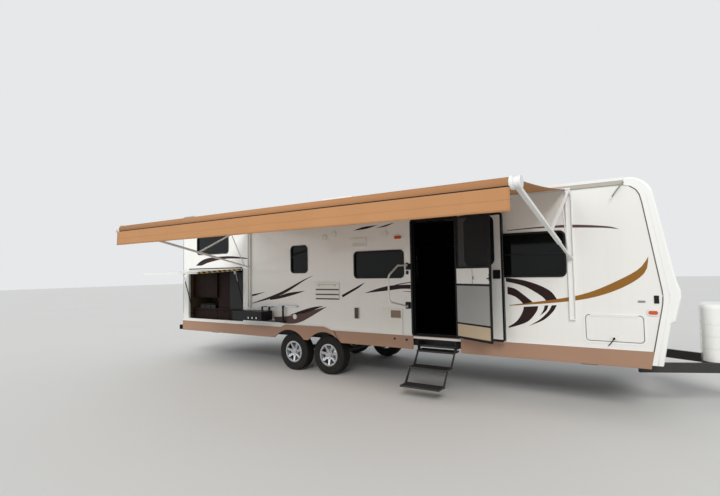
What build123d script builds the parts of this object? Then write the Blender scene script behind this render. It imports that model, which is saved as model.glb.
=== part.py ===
"""Travel trailer caravan, parked on its tongue jack with the door, the galley hatch and the awning open.

Frame: +X points forward along the tow line, +Y to the off side, +Z up. The curb side with the
entry door is -Y. The origin is the centre of the hitch ball's socket. All sizes are millimetres.
Heights are given above the ground, and stations along the body as distances behind its nose.
"""
from build123d import *
import math
import os

os.makedirs("parts", exist_ok=True)

# Hitch and ground
BALL_HEIGHT = 500.0          # ground to the centre of the hitch ball
HITCH_LENGTH = 1120.0        # ball to the nose of the body
BALL_SOCKET_R = 29.6         # socket for a 58.7 mm ball
SOCKET_LENGTH = 36.0
SOCKET_WALL = 9.0
SOCKET_ROOF = 14.0
COUPLER_BACK = 150.0         # ball to the start of the frame's arms
COUPLER_NECK = 65.0
LATCH_BACK = 21.0
LATCH_L = 80.0
LATCH_HALF = 12.0
LATCH_H = 26.0

# Fits
SEAT_GAP = 0.3               # between pieces that bear on or turn on each other

# Body shell
BODY_WIDTH = 2440.0
BODY_LENGTH = 9740.0
WALL_T = 50.0
WALL_BOTTOM = 800.0
WALL_TOP = 2950.0
ROOF_EDGE = 3049.0
ROOF_CROWN = 34.0
FLOOR_TOP = 843.0
FLOOR_T = 53.0
SKIRT_BOTTOM = 630.0
SKIRT_T = 10.0
FENDER_PROUD = 16.0
FENDER = [(-770.0, SKIRT_BOTTOM), (-670.0, 822.0), (-410.0, 893.0), (530.0, 893.0), (660.0, 838.0),
          (850.0, SKIRT_BOTTOM)]   # along from the middle of the wheels, height
STEP_WELL_TOP = FLOOR_TOP - 8.0
REAR_EDGE_R = 35.0
GUTTER_W = 18.0

# Front cap: outer line of the nose as (behind the nose, height)
CAP_WRAP_T = 12.0            # how proud the cap's wrap stands of the side walls
CAP_BOTTOM = 674.0
CAP_LINE = [(217.0, CAP_BOTTOM), (119.0, 1189.0), (75.0, 1215.0), (3.0, 1504.0), (0.0, 1588.0), (39.0, 1709.0)]
CAP_TOP_CORNER = 278.0
CAP_TOP_R = 300.0
CAP_STEP_R = 14.0
CAP_NOSE_R = 160.0
CAP_ROOF_END = 560.0
CAP_WRAP_EDGE = [(345.0, 640.0), (176.0, 1504.0), (360.0, 2700.0), (384.0, 2810.0), (422.0, 2878.0), (486.0, 2928.0)]
CAP_BEND_R = 700.0           # rounding of the wrap's edge where it turns back
CAP_LAP = 4.0                # how far the wrap laps below the side wall's top
CAP_EDGE_R = 30.0            # rounding of the cap's side edges
CAP_SPARE = 400.0            # length past a cut

# Chassis
RAIL_Y = 750.0
RAIL_H = 178.0
RAIL_FLANGE = 76.0
RAIL_FLANGE_T = 9.0
RAIL_WEB = 8.0
FRAME_FRONT = 360.0
CROSS_W = 50.0
CROSS_PITCH = 1050.0
A_FRAME_H = 127.0
A_FRAME_W = 50.0
A_FRAME_ANGLE = 25.0
A_FRAME_START_Y = 62.0
TIE_W = 60.0
BUMPER_W = 102.0
BUMPER_OUT = 190.0
BUMPER_HALF = 1180.0
BUMPER_WALL = 6.0

# Running gear
WHEEL_FRONT = BODY_LENGTH - 4235.0
WHEEL_SPREAD = 867.0
TYRE_R = 360.0
TYRE_W = 222.0
WHEEL_Y = 1010.0
RIM_R = 205.0
BEAD_R = 190.0
SPOKES = 7
HUB_R = 60.0
SPINDLE_R = 22.0
SPINDLE_GAP = 0.05
DRUM_R = 152.0
AXLE_R = 38.0
BACK_PLATE_T = 12.0
BACK_PLATE_RIM = 6.0         # back plate outside the drum
SPINDLE_OUT = 40.0           # spindle end outside the wheel's middle
PAD_HALF = 45.0
PAD_T = 12.0
RIM_SET_IN = 18.0
RIM_LIP = 10.0
DISC_DEPTH = 80.0
DRUM_IN = 28.0
SPOKE_WINDOW_R = (86.0, 172.0)
SPOKE_WINDOW_HALF = (16.0, 58.0)
SPRING_W = 45.0
SPRING_HALF = 330.0
LEAVES = 3
LEAF_T = 12.0
LEAF_R = 1500.0
LEAF_STEP = 90.0
EYE_R = 16.0
BOLT_R = 8.0
HANGER_T = 8.0
HANGER_HALF = 30.0
EQUALISER_DROP = 70.0
ARCH_R = 507.0
ARCH_TOP = 800.0

# Doorway and doors
DOOR_FRONT = 2858.0
DOOR_REAR = 3658.0
DOOR_SILL = 852.0
DOOR_TOP = 2725.0
DOOR_R = 40.0
FRAME_WALL = 8.0             # thickness of the frame's liner
FRAME_OUT = 12.0
FRAME_FLANGE = 26.0
FLANGE_T = 6.0
SILL_LIP = 8.0
STOP_IN = 28.0
DOOR_EDGE = 14.0             # door leaf's edge inside the opening's edge
DOOR_PROUD = 14.0
DOOR_T = 26.0
DOOR_WINDOW = (DOOR_FRONT + 190.0, DOOR_FRONT + 620.0, 1980.0, 2650.0)
DOOR_WINDOW_R = 70.0
LOCK_IN = 46.0
LOCK_W = 110.0
LOCK_BOTTOM = 1760.0
LOCK_TOP = 1886.0
LOCK_PROUD = 14.0
SCREEN_EDGE = 16.0
SCREEN_SET_IN = 20.0         # screen's outer face inside the wall face
SCREEN_T = 18.0
SCREEN_RAIL = 34.0
SCREEN_PANEL_T = 3.0
SCREEN_BAYS = [(1945.0, 2675.0, 0.0), (1690.0, 1915.0, 6.0), (1110.0, 1660.0, 6.0), (905.0, 1085.0, 6.0)]
MESH_T = 3.0
DOOR_AXIS_IN = 2.0           # hinge line behind the opening's front edge
DOOR_AXIS_OUT = 22.0         # hinge line outside the wall face
DOOR_OPEN = 170.0
SCREEN_OPEN = 152.0
HINGE_HEIGHTS = (1050.0, 1790.0, 2530.0)
KNUCKLE_L = 21.0
KNUCKLE_R = 7.0
HINGE_PIN_R = 3.0

# Outdoor galley hatch
HATCH_REAR = BODY_LENGTH - 202.0
HATCH_FRONT = HATCH_REAR - 1850.0
HATCH_BOTTOM = 900.0
HATCH_TOP = 2010.0
HATCH_R = 30.0
HATCH_T = 40.0
HATCH_GAP = 6.0
HATCH_OPEN = 87.0
HATCH_BARREL_R = 5.0
HATCH_LEAF = 26.0
HATCH_RAIL_T = 9.0
HATCH_RAIL_H = 24.0
STRUT_ARM = 160.0            # eye below the hinge line
STRUT_IN = 100.0             # eye inside the hinge line
STRUT_FOOT_IN = 110.0
STRUT_FOOT_DOWN = 1020.0
STRUT_SIDE = 40.0            # strut inside the opening's edge
STRUT_TUBE_R = 10.0
STRUT_ROD_R = 4.5
STRUT_TUBE_L = 780.0
STRUT_SPARE = 50.0
STRUT_EYE_R = 11.0
STRUT_FOOT_R = 9.0
STRUT_PIN_R = 5.0
EYE_HALF = 11.0
FOOT_HALF = 7.0
STUD_L = 12.0
STUD_CAP_T = 4.0
BRACKET_T = 6.0
BRACKET_L = 34.0
BRACKET_HALF = 22.0
GALLEY_DEPTH = 620.0
GALLEY_SHELL = 20.0
GALLEY_SIDE = 20.0
GALLEY_HEAD = 40.0
GALLEY_SET_IN = 90.0
FRONT_T = 18.0
COUNTER_H = 1130.0
COUNTER_T = 30.0
COOKER_FRONT = HATCH_FRONT + 1012.0
COOKER_L = 520.0
COOKER_D = 400.0
COOKER_H = 80.0
FRIDGE_FRONT = HATCH_FRONT + 165.0
FRIDGE_REAR = HATCH_FRONT + 585.0
FRIDGE_TOP = 1940.0
UPPER_H = 1370.0
# Front panels: front and rear edge behind the hatch's front edge, bottom, top, and whether on the upper cupboard
GALLEY_FRONTS = [
    (6.0, 600.0, 880.0, 1090.0, False),
    (606.0, 1000.0, 880.0, 1090.0, False),
    (1018.0, 1440.0, 880.0, 1090.0, False),
    (1446.0, 1864.0, 880.0, 1090.0, False),
    (1018.0, 1440.0, 1384.0, 2010.0, True),
    (1446.0, 1864.0, 1384.0, 2010.0, True),
]

# Luggage doors
LUG_FRONT = 393.0
LUG_REAR = 1088.0
LUG_BOTTOM = 924.0
LUG_TOP = 1290.0
LUG_T = 32.0
LUG_GAP = 5.0
LUG_FRAME_W = 28.0
LUG_R = 55.0
LUG_FLANGE = 5.0
LUG_BARREL_R = 4.0
LUG_BARREL_OUT = 9.0
LUG_HINGE_DROP = 13.0

# Windows: front edge, rear edge, bottom, top, and the height of the slider's bar (0 for none)
CURB_WINDOWS = [
    (1298.0, 2548.0, 1787.0, 2400.0, 2100.0),
    (3818.0, 4808.0, 1790.0, 2240.0, 0.0),
    (BODY_LENGTH - 3829.0, BODY_LENGTH - 3426.0, 1902.0, 2410.0, 2200.0),
    (HATCH_FRONT + 470.0, HATCH_REAR - 330.0, 2360.0, 2760.0, 0.0),
]
OFF_WINDOWS = [
    (1298.0, 2548.0, 1787.0, 2400.0, 2100.0),
    (3300.0, 4808.0, 1640.0, 2400.0, 2100.0),
    (BODY_LENGTH - 3829.0, BODY_LENGTH - 3426.0, 1902.0, 2410.0, 2200.0),
    (HATCH_FRONT + 470.0, HATCH_REAR - 330.0, 2360.0, 2760.0, 0.0),
]
WINDOW_R = 65.0
WINDOW_FRAME_W = 28.0
WINDOW_PROUD = 12.0
GLASS_T = 6.0

# Awning
AWNING_FRONT = 1228.0
AWNING_REAR = HATCH_FRONT - 210.0
CHANNEL_W = 75.0
CHANNEL_D = 34.0
CHANNEL_BOTTOM = 1197.0
ARM_FOOT_H = 2040.0
ROLLER_OUT = 2660.0          # roller centre outside the wall face
ROLLER_H = 2640.0
ROLLER_R = 52.0              # tube with the cloth rolled on it
ARM_JOINT_OUT = 1230.0
RAFTER_TOP_H = 2915.0
CHEEK_T = 6.0
ARM_SLIDE = 735.0            # where the outer arm starts, outside the wall face
HEAD_L = 60.0
GAS_FOOT_OUT = 150.0
GAS_HEAD_OUT = 480.0
GAS_TUBE_R = 9.0
ROLLER_PAST = 60.0
FABRIC_PAST = 30.0
FABRIC_SAG = 30.0
PIN_R = 6.0
ARM_W = 44.0
ARM_D = 34.0
VALANCE_DROP = 260.0
FABRIC_T = 6.0

# Tongue jack and gas locker
JACK_X = -270.0
JACK_TUBE_R = 36.0
JACK_LEG_R = 28.0
JACK_GAP = 0.06
JACK_FOOT_R = 90.0
JACK_BELOW = 110.0
JACK_ABOVE = 480.0
JACK_HEAD_H = 160.0
JACK_PLATE_HALF = 130.0
JACK_LEG_IN = 100.0
LP_FRONT = -370.0
LP_REAR = -890.0
LP_HALF = 330.0
LP_TOP = 1375.0
LP_CORNER_R = 150.0
LP_TOP_R = 60.0
LP_GROOVE = 5.0
LP_GROOVE_H = 8.0
LP_GROOVES = (780.0, 940.0, 1100.0)

# Steps
TREAD_W = 620.0
TREAD_D = 230.0
TREADS = [(630.0, 60.0), (420.0, 340.0), (200.0, 630.0)]   # height of the top, nose outside the wall face
TREAD_T = 26.0
STEP_SIDE_T = 6.0
WELL_DEPTH = 240.0
WELL_H = 130.0
WELL_WALL = 6.0
WELL_BAR = 30.0
WELL_BAR_IN = 40.0

# Roof
AC_FRONT = BODY_LENGTH - 4372.0
AC_REAR = BODY_LENGTH - 3472.0
AC_HALF = 370.0
AC_TOP = 3450.0
AC_LEAN = 80.0
AC_EDGE_R = 40.0
AC_LOUVRES = 3
AC_LOUVRE_PITCH = 40.0
VENT_HALF = 200.0
VENT_H = 85.0
VENT_FRONT = 1900.0
VENT_MID = BODY_LENGTH - 5340.0
VENT_REAR = BODY_LENGTH - 1440.0
ROOF_VENTS = [(VENT_FRONT, 0.0), (VENT_MID, 250.0), (VENT_REAR, 0.0)]

HALF = BODY_WIDTH / 2
NOSE_X = -HITCH_LENGTH
BODY_REAR_X = NOSE_X - BODY_LENGTH
CURB = -HALF


def up(height):
    """Z of a height above the ground."""
    return height - BALL_HEIGHT


def at(station):
    """X of a station behind the nose."""
    return NOSE_X - station


def block(x0, x1, y0, y1, z0, z1):
    """A box between two corners, given in any order."""
    size = Box(abs(x1 - x0), abs(y1 - y0), abs(z1 - z0))
    return Pos((x0 + x1) / 2, (y0 + y1) / 2, (z0 + z1) / 2) * size


def rod(p, q, radius):
    """A round bar from p to q."""
    p, q = Vector(p), Vector(q)
    axis = q - p
    return extrude(Plane(origin=p, z_dir=axis.normalized()) * Circle(radius), axis.length)


def bar(p, q, width, depth, across=(1, 0, 0)):
    """A square bar from p to q, its width lying along the direction across."""
    p, q = Vector(p), Vector(q)
    axis = q - p
    plane = Plane(origin=p, x_dir=across, z_dir=axis.normalized())
    return extrude(plane * Rectangle(width, depth), axis.length)


def side_profile(points, y0, y1):
    """Extrude a closed outline of (station, height) points between two Y values."""
    line = [(at(s), up(h)) for s, h in points]
    plane = Plane(origin=(0, y0, 0), x_dir=(1, 0, 0), z_dir=(0, -1, 0))
    return extrude(plane * make_face(Polyline(*line, close=True)), -(y1 - y0))


def side_panel(front, rear, bottom, top, y0, y1, radius=0.0):
    """A panel in a side wall, with rounded corners where a radius is given."""
    width, height = rear - front, top - bottom
    plane = Plane(origin=(at((front + rear) / 2), y0, up((bottom + top) / 2)), x_dir=(1, 0, 0), z_dir=(0, -1, 0))
    sketch = RectangleRounded(width, height, radius) if radius > 0 else Rectangle(width, height)
    return extrude(plane * sketch, -(y1 - y0))


def save(node, *shapes):
    """Write one node as a STEP file."""
    solids = []
    for shape in shapes:
        solids += list(shape.solids()) if hasattr(shape, "solids") else list(ShapeList(shape).solids())
    export_step(Compound(children=solids) if len(solids) > 1 else solids[0], f"parts/{node}.step")


def both_sides(shape):
    """The shape and its mirror image across the centre plane."""
    return [shape, mirror(shape, about=Plane.XZ)]


# Chassis
rail_top = WALL_BOTTOM - 10.0
rail_bottom = rail_top - RAIL_H
floor_bottom = FLOOR_TOP - FLOOR_T


def i_beam(x0, x1, y):
    """One main rail of the chassis."""
    z0, z1 = up(rail_bottom), up(rail_top)
    half = RAIL_FLANGE / 2
    beam = block(x0, x1, y - RAIL_WEB / 2, y + RAIL_WEB / 2, z0, z1)
    beam += block(x0, x1, y - half, y + half, z0, z0 + RAIL_FLANGE_T)
    return beam + block(x0, x1, y - half, y + half, z1 - RAIL_FLANGE_T, z1)


def main_frame():
    """Main rails, cross members between them and outriggers beside them."""
    x0, x1 = at(FRAME_FRONT), at(BODY_LENGTH - WALL_T)
    parts = [i_beam(x0, x1, RAIL_Y), i_beam(x0, x1, -RAIL_Y)]
    z0, z1 = up(rail_bottom + 60), up(rail_top)
    inner = RAIL_Y - RAIL_FLANGE / 2
    outer = RAIL_Y + RAIL_FLANGE / 2
    count = int((x0 - x1 - CROSS_W) // CROSS_PITCH)
    for i in range(count + 1):
        x = x0 - i * (x0 - x1 - CROSS_W) / count
        parts.append(block(x, x - CROSS_W, -inner, inner, z0, z1))
        station = NOSE_X - x
        if abs(station - (WHEEL_FRONT + WHEEL_SPREAD / 2)) > WHEEL_SPREAD / 2 + ARCH_R:
            parts += both_sides(block(x, x - CROSS_W / 2, outer, HALF - 2, z1 - 90, z1))
    return parts


save("main_frame", *main_frame())


def a_frame():
    """Two box members that run from the coupler back under the main rails, with one cross tie."""
    mid = up(rail_bottom) - A_FRAME_H / 2
    angle = math.radians(A_FRAME_ANGLE)
    start = Vector(-COUPLER_BACK, A_FRAME_START_Y, mid)
    run = (RAIL_Y - A_FRAME_START_Y) / math.sin(angle)
    end = start + Vector(-math.cos(angle), math.sin(angle), 0) * run
    arm = bar(start, end, A_FRAME_H, A_FRAME_W, across=(0, 0, 1))
    other = mirror(arm, about=Plane.XZ)
    tie_x = LP_REAR + TIE_W
    reach = A_FRAME_START_Y + (start.X - tie_x + TIE_W / 2) * math.tan(angle)
    tie = block(tie_x, tie_x - TIE_W, -reach, reach, mid - TIE_W / 2, mid + TIE_W / 2)
    return [arm, other, tie - arm - other]


save("a_frame", *a_frame())


def coupler():
    """Formed steel coupler: the socket with its open mouth below, the wedge between the arms and the latch."""
    outer = BALL_SOCKET_R + SOCKET_WALL
    mouth = -SOCKET_LENGTH / 2
    roof_z = SOCKET_LENGTH / 2 + SOCKET_ROOF
    head = Pos(0, 0, (mouth + roof_z) / 2) * Cylinder(outer, roof_z - mouth)
    wedge = make_face(Polyline((0, outer), (-COUPLER_BACK, outer), (-COUPLER_BACK, -outer), (0, -outer), close=True))
    body = extrude(Plane(origin=(0, 0, mouth)) * wedge, roof_z - mouth)
    half = A_FRAME_START_Y - A_FRAME_W / 2 / math.cos(math.radians(A_FRAME_ANGLE)) - 1
    neck = block(-COUPLER_BACK, -COUPLER_BACK - COUPLER_NECK, -half, half, mouth, roof_z)
    post = block(-COUPLER_BACK, -COUPLER_BACK - COUPLER_NECK + 15, -half, half, roof_z, up(rail_bottom))
    shape = head + body + neck + post - Cylinder(BALL_SOCKET_R, SOCKET_LENGTH)
    latch_x = -outer - LATCH_BACK
    latch = block(latch_x, latch_x - LATCH_L, -LATCH_HALF, LATCH_HALF, roof_z, roof_z + LATCH_H)
    lever = rod((latch_x, 0, roof_z + LATCH_H - 6), (latch_x + LATCH_L / 2, 0, roof_z + LATCH_H * 1.8), LATCH_HALF - 3)
    return [shape + latch + lever]


save("coupler", *coupler())

bumper_z0 = up(rail_bottom) + 10
bumper_x0 = BODY_REAR_X - BUMPER_OUT + BUMPER_W


def rear_bumper():
    """Square bumper tube on two stub arms."""
    x1 = bumper_x0 - BUMPER_W
    z1 = bumper_z0 + BUMPER_W
    tube = block(bumper_x0, x1, -BUMPER_HALF, BUMPER_HALF, bumper_z0, z1)
    w = BUMPER_WALL
    tube -= block(bumper_x0 - w, x1 + w, -BUMPER_HALF - 1, BUMPER_HALF + 1, bumper_z0 + w, z1 - w)
    stub = block(at(BODY_LENGTH - WALL_T), bumper_x0, RAIL_Y - 30, RAIL_Y + 30, bumper_z0, z1)
    return [tube] + both_sides(stub)


save("rear_bumper", *rear_bumper())


def floor():
    """Floor deck between the walls."""
    inner = HALF - WALL_T
    return [block(at(FRAME_FRONT), at(BODY_LENGTH - WALL_T), -inner, inner, up(floor_bottom), up(FLOOR_TOP))]


save("floor", *floor())

# Running gear
axle_z = up(TYRE_R)
axle_stations = [("front", WHEEL_FRONT), ("rear", WHEEL_FRONT + WHEEL_SPREAD)]
sides = [("curb", -1.0), ("off", 1.0)]
rim_inner = WHEEL_Y - TYRE_W / 2 + 12
plate_y = rim_inner - DRUM_IN - 6
pack_low = axle_z + AXLE_R + PAD_T
leaf_centre = pack_low + LEAF_R + LEAVES * LEAF_T


def axles():
    """Two tubes with spring pads, brake back plates and the spindles that carry the hubs."""
    parts = []
    for _, station in axle_stations:
        x = at(station)
        tube_y = plate_y - BACK_PLATE_T
        tube = rod((x, -tube_y, axle_z), (x, tube_y, axle_z), AXLE_R)
        for _, s in sides:
            tube += block(x - PAD_HALF, x + PAD_HALF, s * (RAIL_Y - SPRING_W / 2), s * (RAIL_Y + SPRING_W / 2),
                          axle_z, pack_low - SEAT_GAP)
            parts.append(rod((x, s * tube_y, axle_z), (x, s * plate_y, axle_z), DRUM_R + BACK_PLATE_RIM))
            parts.append(rod((x, s * plate_y, axle_z), (x, s * (WHEEL_Y + SPINDLE_OUT), axle_z), SPINDLE_R))
        parts.append(tube)
    return parts


save("axles", *axles())


def leaf_arc(x, radius, half, y0, width):
    """One spring leaf: a band of a circle whose centre is above the axle."""
    def spot(r, along):
        """A point of a circle of radius r at a distance along from the axle."""
        return (x + along, leaf_centre - math.sqrt(r * r - along * along))

    inner = [spot(radius, -half), spot(radius, 0), spot(radius, half)]
    outer = [spot(radius + LEAF_T, half), spot(radius + LEAF_T, 0), spot(radius + LEAF_T, -half)]
    face = make_face(ThreePointArc(*inner) + Line(inner[2], outer[0]) + ThreePointArc(*outer) + Line(outer[2], inner[0]))
    plane = Plane(origin=(0, y0, 0), x_dir=(1, 0, 0), z_dir=(0, -1, 0))
    return extrude(plane * face, -width)


def spring_eye(station, end):
    """X and Z of a spring's eye, end being 1 for the front eye and -1 for the rear one."""
    radius = LEAF_R + LEAF_T / 2
    return (at(station) + end * SPRING_HALF, leaf_centre - math.sqrt(radius ** 2 - SPRING_HALF ** 2))


def hanger(x, z, inner):
    """Two cheeks under the main rail and the bolt between them."""
    part = rod((x, RAIL_Y - inner - 1, z), (x, RAIL_Y + inner + 1, z), BOLT_R)
    for y in (RAIL_Y - inner - HANGER_T, RAIL_Y + inner):
        part += block(x - HANGER_HALF, x + HANGER_HALF, y, y + HANGER_T, z - EYE_R, up(rail_bottom))
    return part


def leaf_springs():
    """Leaf packs on the axles, their hangers under the main rails and the equalisers between them."""
    parts = []
    width = SPRING_W
    for _, station in axle_stations:
        x = at(station)
        pack = None
        for i in range(LEAVES):
            leaf = leaf_arc(x, LEAF_R + i * LEAF_T, SPRING_HALF - i * LEAF_STEP, RAIL_Y - width / 2, width)
            pack = leaf if pack is None else pack + leaf
        for end in (-1, 1):
            eye_x, eye_z = spring_eye(station, end)
            pack += rod((eye_x, RAIL_Y - width / 2, eye_z), (eye_x, RAIL_Y + width / 2, eye_z), EYE_R)
            pack -= rod((eye_x, RAIL_Y - width, eye_z), (eye_x, RAIL_Y + width, eye_z), BOLT_R + SEAT_GAP)
        parts += both_sides(pack)
    inner = width / 2 + SEAT_GAP
    for station, end in ((WHEEL_FRONT, 1), (WHEEL_FRONT + WHEEL_SPREAD, -1)):
        x, z = spring_eye(station, end)
        parts += both_sides(hanger(x, z, inner))
    front_eye, rear_eye = spring_eye(WHEEL_FRONT, -1), spring_eye(WHEEL_FRONT + WHEEL_SPREAD, 1)
    mid, pivot_z = (front_eye[0] + rear_eye[0]) / 2, up(rail_bottom) - EQUALISER_DROP
    parts += both_sides(hanger(mid, pivot_z, inner + HANGER_T + SEAT_GAP))
    x0, x1, low, high = rear_eye[0] - EYE_R, front_eye[0] + EYE_R, front_eye[1] - EYE_R, front_eye[1] + EYE_R
    outline = Polyline((x1, high), (x1, low), (x0, low), (x0, high), (mid - EYE_R, pivot_z + EYE_R),
                       (mid + EYE_R, pivot_z + EYE_R), close=True)
    equaliser = rod((mid, RAIL_Y - inner, pivot_z), (mid, RAIL_Y + inner, pivot_z), EYE_R)
    for y in (RAIL_Y - inner - HANGER_T, RAIL_Y + inner):
        plane = Plane(origin=(0, y, 0), x_dir=(1, 0, 0), z_dir=(0, -1, 0))
        equaliser += extrude(plane * make_face(outline), -HANGER_T)
    for eye_x, eye_z in (front_eye, rear_eye):
        equaliser += rod((eye_x, RAIL_Y - inner - 1, eye_z), (eye_x, RAIL_Y + inner + 1, eye_z), BOLT_R)
    equaliser -= rod((mid, RAIL_Y - width, pivot_z), (mid, RAIL_Y + width, pivot_z), BOLT_R + SEAT_GAP)
    return parts + both_sides(equaliser)


save("leaf_springs", *leaf_springs())


def rim(station, s):
    """A cast wheel: barrel, seven spokes and the brake drum behind them."""
    x = at(station)
    face_y = s * (WHEEL_Y + TYRE_W / 2 - RIM_SET_IN)
    back_y = s * rim_inner
    bore = SPINDLE_R + SPINDLE_GAP
    axle_line = Axis((x, 0, axle_z), (0, 1, 0))

    def turned(line):
        """Revolve an outline of (radius, y) points about the axle."""
        plane = Plane(origin=(x, 0, axle_z), x_dir=(1, 0, 0), z_dir=(0, 0, 1))
        return revolve(plane * make_face(Polyline(*line, close=True)), axle_line, 360)

    barrel = turned([(BEAD_R, back_y), (BEAD_R, face_y), (RIM_R, face_y), (RIM_R, face_y + s * RIM_LIP),
                     (BEAD_R - RIM_LIP, face_y + s * RIM_LIP), (BEAD_R - 14, back_y)])
    disc = turned([(bore, face_y - s * DISC_DEPTH), (bore, face_y - s * 22), (HUB_R, face_y - s * 18),
                   (BEAD_R - 9, face_y), (BEAD_R - 12, face_y - s * 24), (HUB_R + 10, face_y - s * DISC_DEPTH)])
    cap = rod((x, s * (WHEEL_Y + SPINDLE_OUT + 2), axle_z), (x, face_y - s * 4, axle_z), HUB_R * 0.75)
    low, high = SPOKE_WINDOW_R
    inner_half, outer_half = SPOKE_WINDOW_HALF
    window = make_face(Polyline((low, -inner_half), (high, -outer_half), (high, outer_half), (low, inner_half), close=True))
    hole = Pos(x, face_y, axle_z) * Rot(90, 0, 0) * extrude(window, DISC_DEPTH, both=True)
    for i in range(SPOKES):
        disc -= hole.rotate(axle_line, 360 / SPOKES * (i + 0.5) + 90)
    drum = turned([(bore, face_y - s * 70), (HUB_R, face_y - s * 70), (DRUM_R, face_y - s * 82),
                   (DRUM_R, back_y - s * DRUM_IN), (DRUM_R - 10, back_y - s * DRUM_IN), (DRUM_R - 10, face_y - s * 94),
                   (HUB_R, face_y - s * 94), (HUB_R - 15, face_y - s * 140), (bore, face_y - s * 140)])
    return [barrel + disc + cap + drum]


def tyre(station, s):
    """Tyre with rounded shoulders."""
    x, mid = at(station), s * WHEEL_Y
    w = TYRE_W / 2
    sidewall_r = (BEAD_R + TYRE_R) / 2
    line = (
        Polyline((BEAD_R, mid - w + 14), (BEAD_R + 30, mid - w + 4))
        + ThreePointArc((BEAD_R + 30, mid - w + 4), (sidewall_r, mid - w), (TYRE_R - 26, mid - w + 10))
        + ThreePointArc((TYRE_R - 26, mid - w + 10), (TYRE_R - 8, mid - w + 20), (TYRE_R - 3, mid - w + 40))
        + ThreePointArc((TYRE_R - 3, mid - w + 40), (TYRE_R, mid), (TYRE_R - 3, mid + w - 40))
        + ThreePointArc((TYRE_R - 3, mid + w - 40), (TYRE_R - 8, mid + w - 20), (TYRE_R - 26, mid + w - 10))
        + ThreePointArc((TYRE_R - 26, mid + w - 10), (sidewall_r, mid + w), (BEAD_R + 30, mid + w - 4))
        + Polyline((BEAD_R + 30, mid + w - 4), (BEAD_R, mid + w - 14), (BEAD_R, mid - w + 14))
    )
    plane = Plane(origin=(x, 0, axle_z), x_dir=(1, 0, 0), z_dir=(0, 0, 1))
    solid = revolve(plane * make_face(line), Axis((x, 0, axle_z), (0, 1, 0)), 360)
    lip = rod((x, s * (WHEEL_Y + w - RIM_SET_IN - 1), axle_z), (x, s * (WHEEL_Y + w + 4), axle_z), RIM_R + 1)
    return [solid - lip]


for axle_name, axle_station in axle_stations:
    for side_name, side_sign in sides:
        save(f"rim_{axle_name}_{side_name}", *rim(axle_station, side_sign))
        save(f"tyre_{axle_name}_{side_name}", *tyre(axle_station, side_sign))


# Body shell
def nose_face(inset, rear):
    """Closed outline of the body seen from the side, its front line set in by inset."""
    corner = (CAP_TOP_CORNER, ROOF_EDGE)
    line = [(at(s), up(h)) for s, h in CAP_LINE + [corner, (rear, ROOF_EDGE), (rear, CAP_BOTTOM)]]
    face = make_face(Polyline(*line, close=True))
    picks = [(CAP_LINE[1], CAP_STEP_R), (CAP_LINE[2], CAP_STEP_R), (CAP_LINE[3], CAP_NOSE_R), (corner, CAP_TOP_R)]
    for (s, h), radius in picks:
        spot = Vector(at(s), up(h), 0)
        face = fillet(face.vertices().sort_by_distance(spot)[0], radius)
    return offset(face, -inset) if inset else face


def nose_block(inset, rear, y0, y1):
    """The body's outline extruded across a range of Y."""
    plane = Plane(origin=(0, y0, 0), x_dir=(1, 0, 0), z_dir=(0, -1, 0))
    return extrude(plane * nose_face(inset, rear), -(y1 - y0))


def front_cap():
    """Moulded front cap with rounded side edges, wrapped round the side walls."""
    reach = HALF + CAP_WRAP_T
    rear = CAP_ROOF_END + CAP_SPARE
    outer = nose_block(0, rear, -reach, reach)
    sharp = [e for e in outer.edges() if abs(abs(e.center().Y) - reach) < 1 and e.center().X > at(rear) + 1
             and e.center().Z > up(CAP_BOTTOM) + 1]
    outer = fillet(sharp, CAP_EDGE_R)
    inner = nose_block(WALL_T, rear + CAP_SPARE, -HALF, HALF)
    keep = side_profile([(-CAP_SPARE, CAP_BOTTOM - 50)] + CAP_WRAP_EDGE
                        + [(CAP_ROOF_END, WALL_TOP - CAP_LAP), (CAP_ROOF_END, ROOF_EDGE + 50), (-CAP_SPARE, ROOF_EDGE + 50)],
                        -reach - 10, reach + 10)
    tip, height = CAP_WRAP_EDGE[1]
    bend = keep.edges().filter_by(Axis.Y).sort_by(lambda e: abs(e.center().X - at(tip)) + abs(e.center().Z - up(height)))[0]
    keep = fillet([bend], CAP_BEND_R)
    return [(outer - inner) & keep]


save("front_cap", *front_cap())


def doorway_panel(inset, y0, y1):
    """The doorway's outline, set in all round, extruded across a range of Y."""
    radius = max(DOOR_R - inset, 8)
    return side_panel(DOOR_FRONT + inset, DOOR_REAR - inset, DOOR_SILL + inset, DOOR_TOP - inset, y0, y1, radius)


def wall_blank(s):
    """One side wall before its openings are cut."""
    y0, y1 = s * HALF, s * (HALF - WALL_T)
    wall = nose_block(WALL_T, BODY_LENGTH, min(y0, y1), max(y0, y1))
    wall &= block(at(-CAP_SPARE), at(BODY_LENGTH - WALL_T), y0, y1, up(WALL_BOTTOM), up(WALL_TOP))
    return wall


def wall_panels(s, wall):
    """The side wall as separate panels: full-height ones between its tall openings, and strips below and above each."""
    openings = [(LUG_FRONT, LUG_REAR, LUG_BOTTOM + LUG_R, LUG_TOP - LUG_R)]
    if s < 0:
        openings += [(DOOR_FRONT, DOOR_REAR, DOOR_SILL + DOOR_R, DOOR_TOP - DOOR_R),
                     (HATCH_FRONT, HATCH_REAR, HATCH_BOTTOM + HATCH_R, HATCH_TOP - HATCH_R)]
    cuts, front = [], -CAP_SPARE
    for near, far, low, high in openings:
        cuts += [(front, near, WALL_BOTTOM, WALL_TOP), (near, far, WALL_BOTTOM, low), (near, far, high, WALL_TOP)]
        front = far
    cuts.append((front, BODY_LENGTH, WALL_BOTTOM, WALL_TOP))
    return [wall & block(at(near), at(far), s * HALF, s * (HALF - WALL_T), up(low), up(high)) for near, far, low, high in cuts]


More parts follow.
